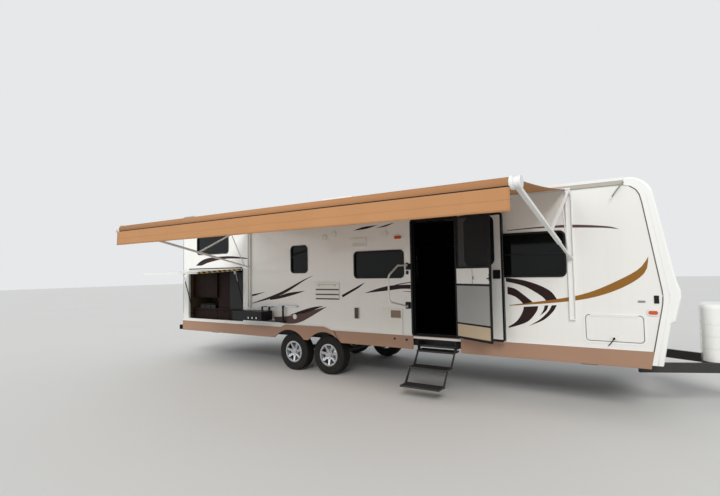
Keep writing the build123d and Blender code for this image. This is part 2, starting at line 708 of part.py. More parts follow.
def side_wall(s, windows):
    """A side wall with its windows, luggage door and, on the curb side, the doorway and the galley hatch."""
    wall = wall_blank(s)
    y0, y1 = s * (HALF + 5), s * (HALF - WALL_T - 5)
    for front, rear, bottom, top, _ in windows:
        wall -= side_panel(front, rear, bottom, top, y0, y1, WINDOW_R)
    wall -= side_panel(LUG_FRONT, LUG_REAR, LUG_BOTTOM, LUG_TOP, y0, y1, LUG_R)
    if s < 0:
        wall -= doorway_panel(0, y0, y1)
        wall -= side_panel(HATCH_FRONT, HATCH_REAR, HATCH_BOTTOM, HATCH_TOP, y0, y1, HATCH_R)
    return wall_panels(s, wall)


save("curb_wall", *side_wall(-1, CURB_WINDOWS))
save("off_wall", *side_wall(1, OFF_WINDOWS))


def rear_wall():
    """Flat rear wall."""
    wall = block(at(BODY_LENGTH - WALL_T), BODY_REAR_X, -HALF, HALF, up(WALL_BOTTOM - 60), up(ROOF_EDGE))
    edges = wall.edges().filter_by(Axis.Z).sort_by(Axis.X)[:2]
    return [fillet(edges, REAR_EDGE_R)]


save("rear_wall", *rear_wall())


def roof_height(y):
    """Height of the crowned roof's top at a distance from the centre plane."""
    r = (HALF ** 2 + ROOF_CROWN ** 2) / (2 * ROOF_CROWN)
    return ROOF_EDGE + ROOF_CROWN - r + math.sqrt(r * r - y * y)


def roof():
    """Crowned roof panel."""
    z0, z1 = up(WALL_TOP), up(ROOF_EDGE)
    face = make_face(
        Polyline((-HALF, z1), (-HALF, z0), (HALF, z0), (HALF, z1))
        + ThreePointArc((HALF, z1), (0, z1 + ROOF_CROWN), (-HALF, z1))
    )
    plane = Plane(origin=(at(CAP_ROOF_END), 0, 0), x_dir=(0, 1, 0), z_dir=(1, 0, 0))
    return [extrude(plane * face, -(BODY_LENGTH - WALL_T - CAP_ROOF_END))]


roof_panel = roof()[0]
save("roof", roof_panel)


def gutter_rails():
    """Gutter rails along both roof edges."""
    rail = block(at(CAP_ROOF_END), BODY_REAR_X + 30, HALF, HALF + GUTTER_W, up(WALL_TOP + 8), up(ROOF_EDGE - 4))
    return both_sides(rail)


save("gutter_rails", *gutter_rails())


# Skirts
def skirt(s):
    """Lower side skirt with two wheel arches under a raised fender panel."""
    y0, y1 = s * HALF, s * (HALF + SKIRT_T)
    (s0, h0), (s1, h1) = CAP_WRAP_EDGE[:2]
    front = [(s0 + (s1 - s0) * (h - h0) / (h1 - h0) + 1, h) for h in (SKIRT_BOTTOM, FLOOR_TOP)]
    plate = side_profile([front[0], front[1], (BODY_LENGTH - 6, FLOOR_TOP), (BODY_LENGTH - 6, SKIRT_BOTTOM)], y0, y1)
    mid = WHEEL_FRONT + WHEEL_SPREAD / 2
    plate += side_profile([(mid + along, height) for along, height in FENDER], s * (HALF + SKIRT_T - 1),
                          s * (HALF + SKIRT_T + FENDER_PROUD))
    for _, station in axle_stations:
        plate -= Pos(at(station), s * HALF, up(ARCH_TOP - ARCH_R)) * Rot(90, 0, 0) * Cylinder(ARCH_R, 200)
    if s < 0:
        plate -= side_panel(DOOR_FRONT - 20, DOOR_REAR, SKIRT_BOTTOM - 10, STEP_WELL_TOP, s * (HALF - 5), s * (HALF + 40))
    return [plate]


save("curb_skirt", *skirt(-1))
save("off_skirt", *skirt(1))


# Windows
def all_windows():
    """Each window with the side it is on."""
    for side_sign, windows in ((-1, CURB_WINDOWS), (1, OFF_WINDOWS)):
        for row in windows:
            yield side_sign, row


def window_frames():
    """A clamp ring round each opening, with a bar where the window slides."""
    parts = []
    for s, (front, rear, bottom, top, bar_h) in all_windows():
        w = WINDOW_FRAME_W
        y0, y1, y2 = s * (HALF - 20), s * HALF, s * (HALF + WINDOW_PROUD)
        ring = side_panel(front - w / 2, rear + w / 2, bottom - w / 2, top + w / 2, y1, y2, WINDOW_R + w / 2)
        ring += side_panel(front, rear, bottom, top, y0, y1, WINDOW_R)
        ring -= side_panel(front + w / 2, rear - w / 2, bottom + w / 2, top - w / 2, s * (HALF - 30), s * (HALF + 30), WINDOW_R - w / 2)
        if bar_h:
            ring += side_panel(front + w / 2 - 1, rear - w / 2 + 1, bar_h - 11, bar_h + 11, y0 + s * 13, y2 - s * 6)
        parts.append(ring)
    return parts


def window_glass():
    """The dark panes inside the frames."""
    parts = []
    for s, (front, rear, bottom, top, _) in all_windows():
        w = WINDOW_FRAME_W / 2
        parts.append(side_panel(front + w, rear - w, bottom + w, top - w, s * (HALF - 20), s * (HALF - 20 + GLASS_T), WINDOW_R - w))
    return parts


save("window_frames", *window_frames())
save("window_glass", *window_glass())


# Entry door, drawn closed and then turned open
hinge_x = at(DOOR_FRONT + DOOR_AXIS_IN)
hinge_y = CURB - DOOR_AXIS_OUT
door_axis = Axis((hinge_x, hinge_y, 0), (0, 0, 1))
screen_y0 = CURB + SCREEN_SET_IN


def knuckle(low, high):
    """One knuckle of a door hinge."""
    return rod((hinge_x, hinge_y, low), (hinge_x, hinge_y, high), KNUCKLE_R)


def frame_members(frame):
    """The doorway's frame as its sill, its head and its two jambs."""
    low, high = up(DOOR_SILL + DOOR_R), up(DOOR_TOP - DOOR_R)
    x0, x1 = at(DOOR_FRONT - 2 * DOOR_R), at(DOOR_REAR + 2 * DOOR_R)
    mid, y0, y1 = (x0 + x1) / 2, CURB - WALL_T, CURB + 2 * WALL_T
    corners = [(x0, x1, up(0), low), (x0, x1, high, up(ROOF_EDGE)), (x0, mid, low, high), (mid, x1, low, high)]
    return [frame & block(xa, xb, y0, y1, za, zb) for xa, xb, za, zb in corners]


def entry_frame():
    """Frame in the doorway: wall liner, outer flange, the stop the screen door closes on, and the hinge posts."""
    inside = doorway_panel(FRAME_WALL, CURB - FRAME_OUT - 5, CURB + WALL_T + 5)
    liner = doorway_panel(0, CURB - FRAME_OUT, CURB + WALL_T) - inside
    flange = doorway_panel(-FRAME_FLANGE, CURB - FLANGE_T, CURB) - inside
    flange -= side_panel(DOOR_FRONT - DOOR_R, DOOR_REAR + DOOR_R, DOOR_SILL - DOOR_R, DOOR_SILL - SILL_LIP, CURB - 10, CURB + 5)
    stop = doorway_panel(0, CURB + WALL_T - FLANGE_T, CURB + WALL_T)
    stop -= doorway_panel(STOP_IN, CURB, CURB + WALL_T + 5)
    frame = liner + flange + stop
    for height in HINGE_HEIGHTS:
        z = up(height)
        ends = KNUCKLE_L * 2.5
        frame += rod((hinge_x, hinge_y, z - ends), (hinge_x, hinge_y, z + ends), HINGE_PIN_R)
        for step in (-2, 0, 2):
            low, high = z + (step - 0.5) * KNUCKLE_L + 0.25, z + (step + 0.5) * KNUCKLE_L - 0.25
            frame += rod((hinge_x, hinge_y, low), (hinge_x, hinge_y, high), KNUCKLE_R)
            frame += block(hinge_x + 1, hinge_x + FRAME_FLANGE - 4, hinge_y - 1, CURB - FLANGE_T, low, high)
    return frame_members(frame)


save("entry_frame", *entry_frame())


def entry_door():
    """Entry door slab with its window opening, hinge knuckles, inside lock plate and outside pull."""
    slab = doorway_panel(DOOR_EDGE, CURB - DOOR_PROUD, CURB - DOOR_PROUD + DOOR_T)
    front, rear, bottom, top = DOOR_WINDOW
    slab -= side_panel(front, rear, bottom, top, CURB - DOOR_PROUD - 5, CURB + DOOR_T, DOOR_WINDOW_R)
    outer = CURB - DOOR_PROUD
    for height in HINGE_HEIGHTS:
        z = up(height)
        low, high = z - 1.5 * KNUCKLE_L + 0.5, z - 0.5 * KNUCKLE_L - 0.5
        slab += knuckle(low, high)
        slab += block(hinge_x - 22, hinge_x - 12, hinge_y + 2.5, outer + 2, low, high)
        slab += block(hinge_x - 13, hinge_x - 5, hinge_y + 2.5, outer, low, high)
        slab -= rod((hinge_x, hinge_y, low - 5), (hinge_x, hinge_y, high + 5), HINGE_PIN_R + SEAT_GAP)
        slab -= block(hinge_x - 26, hinge_x - 5, outer - 5, outer + DOOR_T + 5, z + 0.5 * KNUCKLE_L - 6, z + 1.5 * KNUCKLE_L + 6)
    rear = DOOR_REAR - DOOR_EDGE - LOCK_IN
    front = rear - LOCK_W
    slab += side_panel(front, rear, LOCK_BOTTOM, LOCK_TOP, outer + DOOR_T - 1, outer + DOOR_T + LOCK_PROUD, 12)
    slab += side_panel(front, rear, LOCK_BOTTOM - 20, LOCK_TOP, outer - 8, outer + 1, 12)
    slab += side_panel(front + 14, rear - 14, LOCK_BOTTOM + 10, LOCK_TOP - 20, outer - 34, outer - 22, 12)
    for h in (LOCK_BOTTOM + 10, LOCK_TOP - 34):
        slab += side_panel(front + 14, rear - 14, h, h + 14, outer - 30, outer - 4)
    return slab


def entry_door_glass():
    """Pane of the entry door."""
    front, rear, bottom, top = DOOR_WINDOW
    y0 = CURB - DOOR_PROUD + 8
    return side_panel(front, rear, bottom, top, y0, y0 + GLASS_T, DOOR_WINDOW_R)


def screen_frame():
    """Screen door frame with its rails, lower panels and the bent hinge arms that reach round the entry door."""
    y0, y1 = screen_y0, screen_y0 + SCREEN_T
    frame = doorway_panel(SCREEN_EDGE, y0, y1)
    front, rear = DOOR_FRONT + SCREEN_EDGE + SCREEN_RAIL, DOOR_REAR - SCREEN_EDGE - SCREEN_RAIL
    for bottom, top, kept in SCREEN_BAYS:
        frame -= side_panel(front, rear, bottom, top, y0 - 5, y1 - kept if kept else y1 + 5, 8)
        if kept:
            frame -= side_panel(front, rear, bottom, top, y1 - kept + SCREEN_PANEL_T, y1 + 5, 8)
    for height in HINGE_HEIGHTS:
        z = up(height)
        low, high = z + 0.5 * KNUCKLE_L + 0.5, z + 1.5 * KNUCKLE_L - 0.5
        frame += knuckle(low, high) + block(hinge_x - 16, hinge_x - 4, hinge_y - 3, hinge_y + 3, low, high)
        frame += block(hinge_x - 16, hinge_x - 12, hinge_y - 3, y0 + 8, low, high)
        frame += block(hinge_x - 26, hinge_x - 12, y0, y0 + 8, low, high)
        frame -= rod((hinge_x, hinge_y, low - 5), (hinge_x, hinge_y, high + 5), HINGE_PIN_R + SEAT_GAP)
    return frame


def screen_mesh():
    """The screen's mesh as one thin sheet in the upper bay."""
    bottom, top, _ = SCREEN_BAYS[0]
    front, rear = DOOR_FRONT + SCREEN_EDGE + SCREEN_RAIL, DOOR_REAR - SCREEN_EDGE - SCREEN_RAIL
    mid = screen_y0 + SCREEN_T / 2
    return side_panel(front, rear, bottom, top, mid - MESH_T / 2, mid + MESH_T / 2, 8)


save("entry_door", entry_door().rotate(door_axis, DOOR_OPEN))
save("entry_door_glass", entry_door_glass().rotate(door_axis, DOOR_OPEN))
save("screen_door", screen_frame().rotate(door_axis, SCREEN_OPEN))
save("screen_mesh", screen_mesh().rotate(door_axis, SCREEN_OPEN))


# Galley hatch, drawn closed and then turned open
hatch_hinge_y = CURB - 6
hatch_hinge_z = up(HATCH_TOP + 6)
hatch_axis = Axis((0, hatch_hinge_y, hatch_hinge_z), (1, 0, 0))


def kitchen_hatch():
    """Hatch panel over the outdoor galley, with its hinge leaf and the brackets beside the strut eyes."""
    g = HATCH_GAP
    panel = side_panel(HATCH_FRONT + g, HATCH_REAR - g, HATCH_BOTTOM + g, HATCH_TOP - g, CURB, CURB + HATCH_T, HATCH_R - g)
    x0, x1 = at(HATCH_FRONT + HATCH_R), at(HATCH_REAR - HATCH_R)
    leaf_top = hatch_hinge_z - HATCH_BARREL_R - SEAT_GAP
    panel += block(x0, x1, hatch_hinge_y - 1, CURB - SEAT_GAP, leaf_top - HATCH_LEAF, leaf_top)
    panel += block(x0, x1, CURB - 1, CURB + 1, leaf_top - HATCH_LEAF, up(HATCH_TOP - g) - 1)
    inner = CURB + HATCH_T
    y, z = strut_eye_closed
    for station, inward in strut_stations:
        x = at(station) - inward * (EYE_HALF + SEAT_GAP)
        plate_x = x - inward * STUD_L
        stud = rod((x, y, z), (plate_x, y, z), STRUT_PIN_R)
        web = block(plate_x, plate_x - inward * BRACKET_T, inner - 1, y + STRUT_EYE_R, z - BRACKET_HALF, z + BRACKET_HALF)
        base = block(plate_x, plate_x - inward * BRACKET_L, inner - 1, inner + BRACKET_T, z - BRACKET_HALF, z + BRACKET_HALF)
        panel += stud + web + base
    return panel


strut_stations = ((HATCH_FRONT + STRUT_SIDE, 1.0), (HATCH_REAR - STRUT_SIDE, -1.0))
strut_foot = (hatch_hinge_y + STRUT_FOOT_IN, hatch_hinge_z - STRUT_FOOT_DOWN)
galley_front = CURB + WALL_T + GALLEY_SET_IN


def turned_about_hatch(y, z, degrees):
    """Y and Z of a point of the closed hatch after it is turned about its hinge."""
    a = math.radians(degrees)
    dy, dz = y - hatch_hinge_y, z - hatch_hinge_z
    return (hatch_hinge_y + dy * math.cos(a) - dz * math.sin(a), hatch_hinge_z + dy * math.sin(a) + dz * math.cos(a))


strut_eye_closed = (hatch_hinge_y + STRUT_IN, hatch_hinge_z - STRUT_ARM)
strut_eye_open = turned_about_hatch(*strut_eye_closed, -HATCH_OPEN)


def along_strut(distance):
    """Y and Z at a distance from the strut's foot towards the open eye."""
    dy, dz = strut_eye_open[0] - strut_foot[0], strut_eye_open[1] - strut_foot[1]
    length = math.hypot(dy, dz)
    return (strut_foot[0] + dy / length * distance, strut_foot[1] + dz / length * distance)


open_length = math.hypot(strut_eye_open[0] - strut_foot[0], strut_eye_open[1] - strut_foot[1])


def strut_tubes():
    """Gas strut cylinders with their foot eyes."""
    parts = []
    for station, _ in strut_stations:
        x = at(station)
        tube = rod((x, *along_strut(STRUT_FOOT_R + 3)), (x, *along_strut(STRUT_TUBE_L)), STRUT_TUBE_R)
        tube += rod((x, *along_strut(STRUT_FOOT_R - 1)), (x, *along_strut(STRUT_FOOT_R + 4)), FOOT_HALF - 1)
        tube += rod((x - FOOT_HALF, *strut_foot), (x + FOOT_HALF, *strut_foot), STRUT_FOOT_R)
        tube -= rod((x, *along_strut(STRUT_FOOT_R * 3)), (x, *along_strut(STRUT_TUBE_L + 5)), STRUT_ROD_R + SEAT_GAP)
        tube -= rod((x - STRUT_SIDE, *strut_foot), (x + STRUT_SIDE, *strut_foot), STRUT_PIN_R + SEAT_GAP)
        parts.append(tube)
    return parts


def strut_rods():
    """Gas strut rods with their eyes at the hatch."""
    parts = []
    for station, _ in strut_stations:
        x = at(station)
        shaft = rod((x, *along_strut(STRUT_TUBE_L - STRUT_SPARE)), (x, *along_strut(open_length - STRUT_EYE_R + 1)), STRUT_ROD_R)
        eye = rod((x - EYE_HALF, *strut_eye_open), (x + EYE_HALF, *strut_eye_open), STRUT_EYE_R)
        eye -= rod((x - EYE_HALF - 1, *strut_eye_open), (x + EYE_HALF + 1, *strut_eye_open), STRUT_PIN_R + SEAT_GAP)
        parts.append(shaft + eye)
    return parts


save("kitchen_hatch", kitchen_hatch().rotate(hatch_axis, -HATCH_OPEN))
save("strut_tubes", *strut_tubes())
save("strut_rods", *strut_rods())


def hatch_fittings():
    """Hinge rail of the hatch on the wall, and the studs that carry the struts' feet."""
    x0, x1 = at(HATCH_FRONT + HATCH_R), at(HATCH_REAR - HATCH_R)
    barrel = rod((x0, hatch_hinge_y, hatch_hinge_z), (x1, hatch_hinge_y, hatch_hinge_z), HATCH_BARREL_R)
    rail = block(x0, x1, CURB - HATCH_RAIL_T, CURB, hatch_hinge_z + 2, hatch_hinge_z + HATCH_RAIL_H)
    parts = [rail + barrel]
    y, z = strut_foot
    for station, inward in strut_stations:
        wall_x = at(station) + inward * (STRUT_SIDE + GALLEY_SIDE)
        end = at(station) - inward * (FOOT_HALF + SEAT_GAP)
        stud = rod((wall_x, y, z), (end - inward * STUD_CAP_T, y, z), STRUT_PIN_R)
        stud += rod((end, y, z), (end - inward * STUD_CAP_T, y, z), STRUT_FOOT_R)
        stud += rod((wall_x, y, z), (wall_x - inward * STUD_CAP_T, y, z), BRACKET_HALF)
        parts.append(stud)
    return parts


save("hatch_fittings", *hatch_fittings())


def kitchen_shell():
    """Open-fronted shell of the galley alcove."""
    y0, y1, t = CURB + WALL_T, CURB + WALL_T + GALLEY_DEPTH, GALLEY_SHELL
    f, r = HATCH_FRONT - GALLEY_SIDE, HATCH_REAR + GALLEY_SIDE
    z0, z1 = up(FLOOR_TOP), up(HATCH_TOP + GALLEY_HEAD)
    shell = block(at(f - t), at(r + t), y0, y1 + t, z0, z1)
    return [shell - block(at(f), at(r), y0 - 5, y1, z0 + t, z1 - t)]


save("kitchen_shell", *kitchen_shell())


def kitchen_cabinets():
    """Galley furniture: base units with drawer fronts, the counter, the upper cupboard and the middle column."""
    y1 = CURB + WALL_T + GALLEY_DEPTH
    f, r = HATCH_FRONT - GALLEY_SIDE, HATCH_REAR + GALLEY_SIDE
    z0, z1 = up(FLOOR_TOP) + GALLEY_SHELL, up(HATCH_TOP + GALLEY_HEAD) - GALLEY_SHELL
    base = block(at(f), at(r), galley_front + FRONT_T, y1, z0, up(COUNTER_H - COUNTER_T))
    base += block(at(f), at(r), galley_front - 6, y1, up(COUNTER_H - COUNTER_T), up(COUNTER_H))
    upper = block(at(COOKER_FRONT), at(r), galley_front + FRONT_T, y1, up(UPPER_H), z1)
    column = block(at(FRIDGE_REAR + 10), at(COOKER_FRONT - 1), galley_front + 40, y1, up(COUNTER_H), z1)
    for front, rear, bottom, top, on_upper in GALLEY_FRONTS:
        panel = side_panel(HATCH_FRONT + front, HATCH_FRONT + rear, bottom, top, galley_front, galley_front + FRONT_T + 1, 6)
        mid, pull_h = HATCH_FRONT + (front + rear) / 2, bottom + 22 if on_upper else top - 34
        pull = side_panel(mid - 50, mid + 50, pull_h, pull_h + 12, galley_front - 14, galley_front + 1)
        if on_upper:
            upper += panel + pull
        else:
            base += panel + pull
    return [base, upper, column]


save("kitchen_cabinets", *kitchen_cabinets())


def kitchen_appliances():
    """Small fridge at the front end and the cooker on the counter."""
    y1 = CURB + WALL_T + GALLEY_DEPTH
    fridge = block(at(FRIDGE_FRONT), at(FRIDGE_REAR), galley_front + 20, y1, up(COUNTER_H), up(FRIDGE_TOP))
    fridge += side_panel(FRIDGE_FRONT + 4, FRIDGE_REAR - 4, COUNTER_H + 20, FRIDGE_TOP - 8, galley_front, galley_front + 16, 14)
    fridge += block(at(FRIDGE_FRONT + 4), at(FRIDGE_REAR - 4), galley_front + 15, galley_front + 21, up(COUNTER_H + 20),
                    up(FRIDGE_TOP - 8))
    cooker_x0, cooker_x1 = at(COOKER_FRONT + 90), at(COOKER_FRONT + 90 + COOKER_L)
    y0 = galley_front + 20
    cooker = block(cooker_x0, cooker_x1, y0, y0 + COOKER_D, up(COUNTER_H), up(COUNTER_H + COOKER_H))
    for i in (1, 2):
        x = cooker_x0 + (cooker_x1 - cooker_x0) * i / 3
        y = y0 + COOKER_D / 2
        cooker += rod((x, y, up(COUNTER_H + COOKER_H)), (x, y, up(COUNTER_H + COOKER_H + 14)), 62)
        cooker += rod((x, y0 - 16, up(COUNTER_H + COOKER_H / 2)), (x, y0, up(COUNTER_H + COOKER_H / 2)), 16)
    return [fridge, cooker]


save("kitchen_appliances", *kitchen_appliances())


def interior_walls():
    """Bulkhead ahead of the galley."""
    x = at(HATCH_FRONT - 80)
    return [block(x, x + 30, -HALF + WALL_T, HALF - WALL_T, up(FLOOR_TOP), up(WALL_TOP))]


save("interior_walls", *interior_walls())


# Luggage doors, hinged at the top
def luggage_door(s):
    """A luggage door set in its frame opening, with the hinge leaf at its top and the latch below."""
    g = LUG_GAP + LUG_FRAME_W / 2
    door = side_panel(LUG_FRONT + g, LUG_REAR - g, LUG_BOTTOM + g, LUG_TOP - g, s * (HALF + 4), s * (HALF - LUG_T), LUG_R - 10)
    leaf_top = up(LUG_TOP - LUG_HINGE_DROP) - LUG_BARREL_R - SEAT_GAP
    x0, x1 = at(LUG_FRONT + LUG_R + g), at(LUG_REAR - LUG_R - g)
    door += block(x0, x1, s * (HALF + 3), s * (HALF + LUG_BARREL_OUT + 1.5), leaf_top - 18, leaf_top)
    mid = (LUG_FRONT + LUG_REAR) / 2
    return door + side_panel(mid - 45, mid + 45, LUG_BOTTOM + g + 16, LUG_BOTTOM + g + 76, s * (HALF + 3), s * (HALF + 12), 10)


def luggage_frames():
    """Frames round both luggage doors, each with the barrel of its door's hinge."""
    parts = []
    for _, s in sides:
        w = LUG_FRAME_W / 2
        ring = side_panel(LUG_FRONT, LUG_REAR, LUG_BOTTOM, LUG_TOP, s * (HALF - WALL_T), s * HALF, LUG_R)
        ring += side_panel(LUG_FRONT - w, LUG_REAR + w, LUG_BOTTOM - w, LUG_TOP + w, s * HALF, s * (HALF + LUG_FLANGE), LUG_R + w)
        ring -= side_panel(LUG_FRONT + w, LUG_REAR - w, LUG_BOTTOM + w, LUG_TOP - w, s * (HALF - WALL_T - 5), s * (HALF + 10), LUG_R - 6)
        x0, x1 = at(LUG_FRONT + LUG_R + w), at(LUG_REAR - LUG_R - w)
        y, z = s * (HALF + LUG_BARREL_OUT), up(LUG_TOP - LUG_HINGE_DROP)
        ring += rod((x0, y, z), (x1, y, z), LUG_BARREL_R)
        ring += block(x0, x1, s * (HALF + LUG_FLANGE - 1), s * (HALF + LUG_FLANGE + 2.5), z, z + 12)
        parts.append(ring)
    return parts


save("luggage_door_curb", luggage_door(-1))
save("luggage_door_off", luggage_door(1))
save("luggage_frames", *luggage_frames())


# Wall fittings on the curb side: front, rear, bottom, top, how far proud, and slots as (from, to, height)
SLOT_H = 16.0
SLOT_D = 8.0
FITTING_R = 12.0
HEATER_SLOTS = [(40.0, 210.0, h) for h in (1125.0, 1150.0, 1175.0, 1200.0, 1225.0)]
FRIDGE_VENT_FRONT = BODY_LENGTH - 4592.0
FRIDGE_VENT_REAR = BODY_LENGTH - 4046.0
VENTS = [
    (FRIDGE_VENT_FRONT, FRIDGE_VENT_REAR, 1385.0, 1705.0, 14.0,
     [(60.0, 486.0, h) for h in (1410.0, 1490.0, 1580.0, 1670.0)]),
    (4718.0, 4818.0, 1070.0, 1270.0, 16.0, []),
    (3848.0, 4248.0, 852.0, 1270.0, 14.0, HEATER_SLOTS),
    (4548.0, 4858.0, 2330.0, 2485.0, 18.0, [(30.0, 280.0, h) for h in (2360.0, 2390.0)]),
]
# Round fittings: side, station, height, radius, how far proud
ROUND_FITTINGS = [
    (-1.0, BODY_LENGTH - 4262.0, 2540.0, 55.0, 14.0),
    (-1.0, BODY_LENGTH - 4482.0, 2590.0, 55.0, 14.0),
    (-1.0, 4158.0, 2530.0, 55.0, 14.0),
    (-1.0, BODY_LENGTH - 3512.0, 1055.0, 48.0, 12.0),
    (1.0, BODY_LENGTH - 700.0, 1000.0, 60.0, 16.0),
    (1.0, 2900.0, 1150.0, 58.0, 14.0),
    (1.0, BODY_LENGTH - 4300.0, 1250.0, 60.0, 14.0),
]


def wall_fittings():
    """Vents, access doors, speakers and ports on the curb wall, and the service inlets on the off wall."""
    parts = []
    for front, rear, bottom, top, proud, slots in VENTS:
        panel = side_panel(front, rear, bottom, top, CURB - proud, CURB, FITTING_R)
        for x0, x1, h in slots:
            panel -= side_panel(front + x0, front + x1, h - SLOT_H / 2, h + SLOT_H / 2, CURB - proud - 1, CURB - proud + SLOT_D)
            blade_y, blade_z = CURB - proud + SLOT_D / 2, up(h)
            panel += bar((at(front + x0), blade_y, blade_z), (at(front + x1), blade_y, blade_z), SLOT_D, 3.0, across=(0, 0.8, -0.6))
        parts.append(panel)
    for s, station, height, radius, proud in ROUND_FITTINGS:
        z = up(height)
        disc = rod((at(station), s * HALF, z), (at(station), s * (HALF + proud), z), radius)
        groove = rod((at(station), s * (HALF + proud - 4), z), (at(station), s * (HALF + proud + 1), z), radius * 0.8)
        groove -= rod((at(station), s * (HALF + proud - 5), z), (at(station), s * (HALF + proud + 2), z), radius * 0.7)
        parts.append(disc - groove)
    return parts


save("wall_fittings", *wall_fittings())


# Lamps: front and rear edge, bottom, top, how far proud, corner radius
PORCH_LAMP = (3848.0, 3968.0, 2432.0, 2482.0, 30.0, 20.0)
SIDE_LAMP = (252.0, 352.0, 1301.0, 1345.0, 16.0, 20.0)
TAIL_LAMP = (940.0, 1120.0, 1000.0, 1180.0, 26.0)       # inner and outer edge, bottom, top, how far proud
TOP_LAMPS = (-1000.0, -150.0, 0.0, 150.0, 1000.0)
TOP_LAMP = (76.0, 2960.0, 2990.0, 16.0)                 # width, bottom, top, how far proud


def lights():
    """Marker, porch and tail lamps."""
    front, rear, bottom, top, proud, radius = PORCH_LAMP
    parts = [side_panel(front, rear, bottom, top, CURB - proud, CURB, radius)]
    front, rear, bottom, top, proud, radius = SIDE_LAMP
    inner, outer, low, high, out = TAIL_LAMP
    for _, s in sides:
        parts.append(side_panel(front, rear, bottom, top, s * HALF, s * (HALF + proud), radius))
        parts.append(block(BODY_REAR_X - out, BODY_REAR_X, s * inner, s * outer, up(low), up(high)))
    width, low, high, out = TOP_LAMP
    for y in TOP_LAMPS:
        parts.append(block(BODY_REAR_X - out, BODY_REAR_X, y - width / 2, y + width / 2, up(low), up(high)))
    return parts


save("lights", *lights())

# Assist rail beside the door, swung out square to the wall: reach outside the wall face, height
HANDRAIL_STATION = 3748.0
HANDRAIL_PIVOT = 24.0
HANDRAIL_R = 14.0
HANDRAIL = [(HANDRAIL_PIVOT, 1986.0), (300.0, 1986.0), (606.0, 1827.0), (600.0, 1466.0), (533.0, 1417.0),
            (HANDRAIL_PIVOT, 1318.0)]
HANDRAIL_BENDS = [55.0, 90.0, 50.0, 40.0]
EAR_IN = 18.0


def grab_handle():
    """Bent tube of the assist rail with the eyes that turn on its wall pins."""
    x = at(HANDRAIL_STATION)
    points = [(x, CURB - out, up(h)) for out, h in HANDRAIL]
    path = FilletPolyline(*points, radius=HANDRAIL_BENDS)
    tube = sweep(Plane(origin=points[0], z_dir=path % 0) * Circle(HANDRAIL_R), path=path)
    for _, y, z in (points[0], points[-1]):
        tube += rod((x, y, z - EAR_IN), (x, y, z + EAR_IN), HANDRAIL_R + 2)
        tube -= rod((x, y, z - 30), (x, y, z + 30), PIN_R + SEAT_GAP)
    return [tube]


def handle_brackets():
    """Wall plates with the pins that the assist rail turns on."""
    x = at(HANDRAIL_STATION)
    parts = []
    for height in (HANDRAIL[0][1], HANDRAIL[-1][1]):
        y, z = CURB - HANDRAIL_PIVOT, up(height)
        plate = block(x - 24, x + 24, CURB - 5, CURB, z - 44, z + 44)
        for side in (-1, 1):
            plate += block(x - 12, x + 12, y - 12, CURB - 5, z + side * (EAR_IN + SEAT_GAP), z + side * (EAR_IN + 8))
        parts.append(plate + rod((x, y, z - EAR_IN - 8), (x, y, z + EAR_IN + 8), PIN_R))
    return parts


save("grab_handle", *grab_handle())
save("handle_brackets", *handle_brackets())

# Awning
arm_x = [at(AWNING_FRONT), at(AWNING_REAR)]
roller_y = CURB - ROLLER_OUT
roller_z = up(ROLLER_H)
arm_foot = (CURB - CHANNEL_D - 14, up(ARM_FOOT_H))
rafter_top = (CURB - CHANNEL_D - 12, up(RAFTER_TOP_H))
fabric_top = (CURB - GUTTER_W - 12 - SEAT_GAP, up(WALL_TOP + 16))


def on_arm(out):
    """Y and Z on the main arm's centre line at a distance outside the wall face."""
    y = CURB - out
    t = (y - arm_foot[0]) / (roller_y - arm_foot[0])
    return (y, arm_foot[1] + t * (roller_z - arm_foot[1]))


def on_rafter(out):
    """Y and Z on the rafter's centre line at a distance outside the wall face."""
    joint = on_arm(ARM_JOINT_OUT)
    y = CURB - out
    t = (y - rafter_top[0]) / (joint[0] - rafter_top[0])
    return (y, rafter_top[1] + t * (joint[1] - rafter_top[1]))


def awning_channels():
    """Wall channels that the arms fold into, and the rail that holds the fabric."""
    parts = [block(arm_x[0] + FABRIC_PAST, arm_x[1] - FABRIC_PAST, CURB - GUTTER_W, fabric_top[0] + SEAT_GAP,
                   fabric_top[1] - 8, fabric_top[1] + 12)]
    half = CHANNEL_W / 2
    for x in arm_x:
        channel = block(x - half, x + half, CURB - CHANNEL_D, CURB, up(CHANNEL_BOTTOM), up(WALL_TOP))
        channel -= block(x - half + 5, x + half - 5, CURB - CHANNEL_D - 1, CURB - 6, up(CHANNEL_BOTTOM) + 20, up(WALL_TOP) - 20)
        for y, z in (arm_foot, rafter_top):
            for side in (-1, 1):
                x0 = x + side * (half - 7)
                channel += block(x0, x0 - side * CHEEK_T, y - 16, CURB - 6, z - 20, z + 20)
            channel += rod((x - half + 7, y, z), (x + half - 7, y, z), PIN_R)
        parts.append(channel)
    return parts


save("awning_channels", *awning_channels())


def awning_arms():
    """Main arms, rafters and gas struts at both ends of the awning."""
    parts = []
    for x in arm_x:
        inner = bar((x, *arm_foot), (x, *on_arm(ARM_SLIDE + 25)), ARM_W - 12, ARM_D - 10)
        outer = bar((x, *on_arm(ARM_SLIDE)), (x, *on_arm(ROLLER_OUT - HEAD_L)), ARM_W, ARM_D)
        rafter = bar((x, *rafter_top), (x, *on_arm(ARM_JOINT_OUT)), ARM_W - 12, ARM_D - 10)
        strut = rod((x, *on_arm(GAS_FOOT_OUT)), (x, *on_rafter(GAS_HEAD_OUT)), GAS_TUBE_R)
        arm = inner + outer + rafter + strut
        for y, z in (arm_foot, rafter_top):
            arm += rod((x - ARM_W / 2 + 6, y, z), (x + ARM_W / 2 - 6, y, z), 13)
        for y, z in (arm_foot, rafter_top):
            arm -= rod((x - CHANNEL_W / 2, y, z), (x + CHANNEL_W / 2, y, z), PIN_R + SEAT_GAP)
        parts.append(arm)
    return parts


save("awning_arms", *awning_arms())


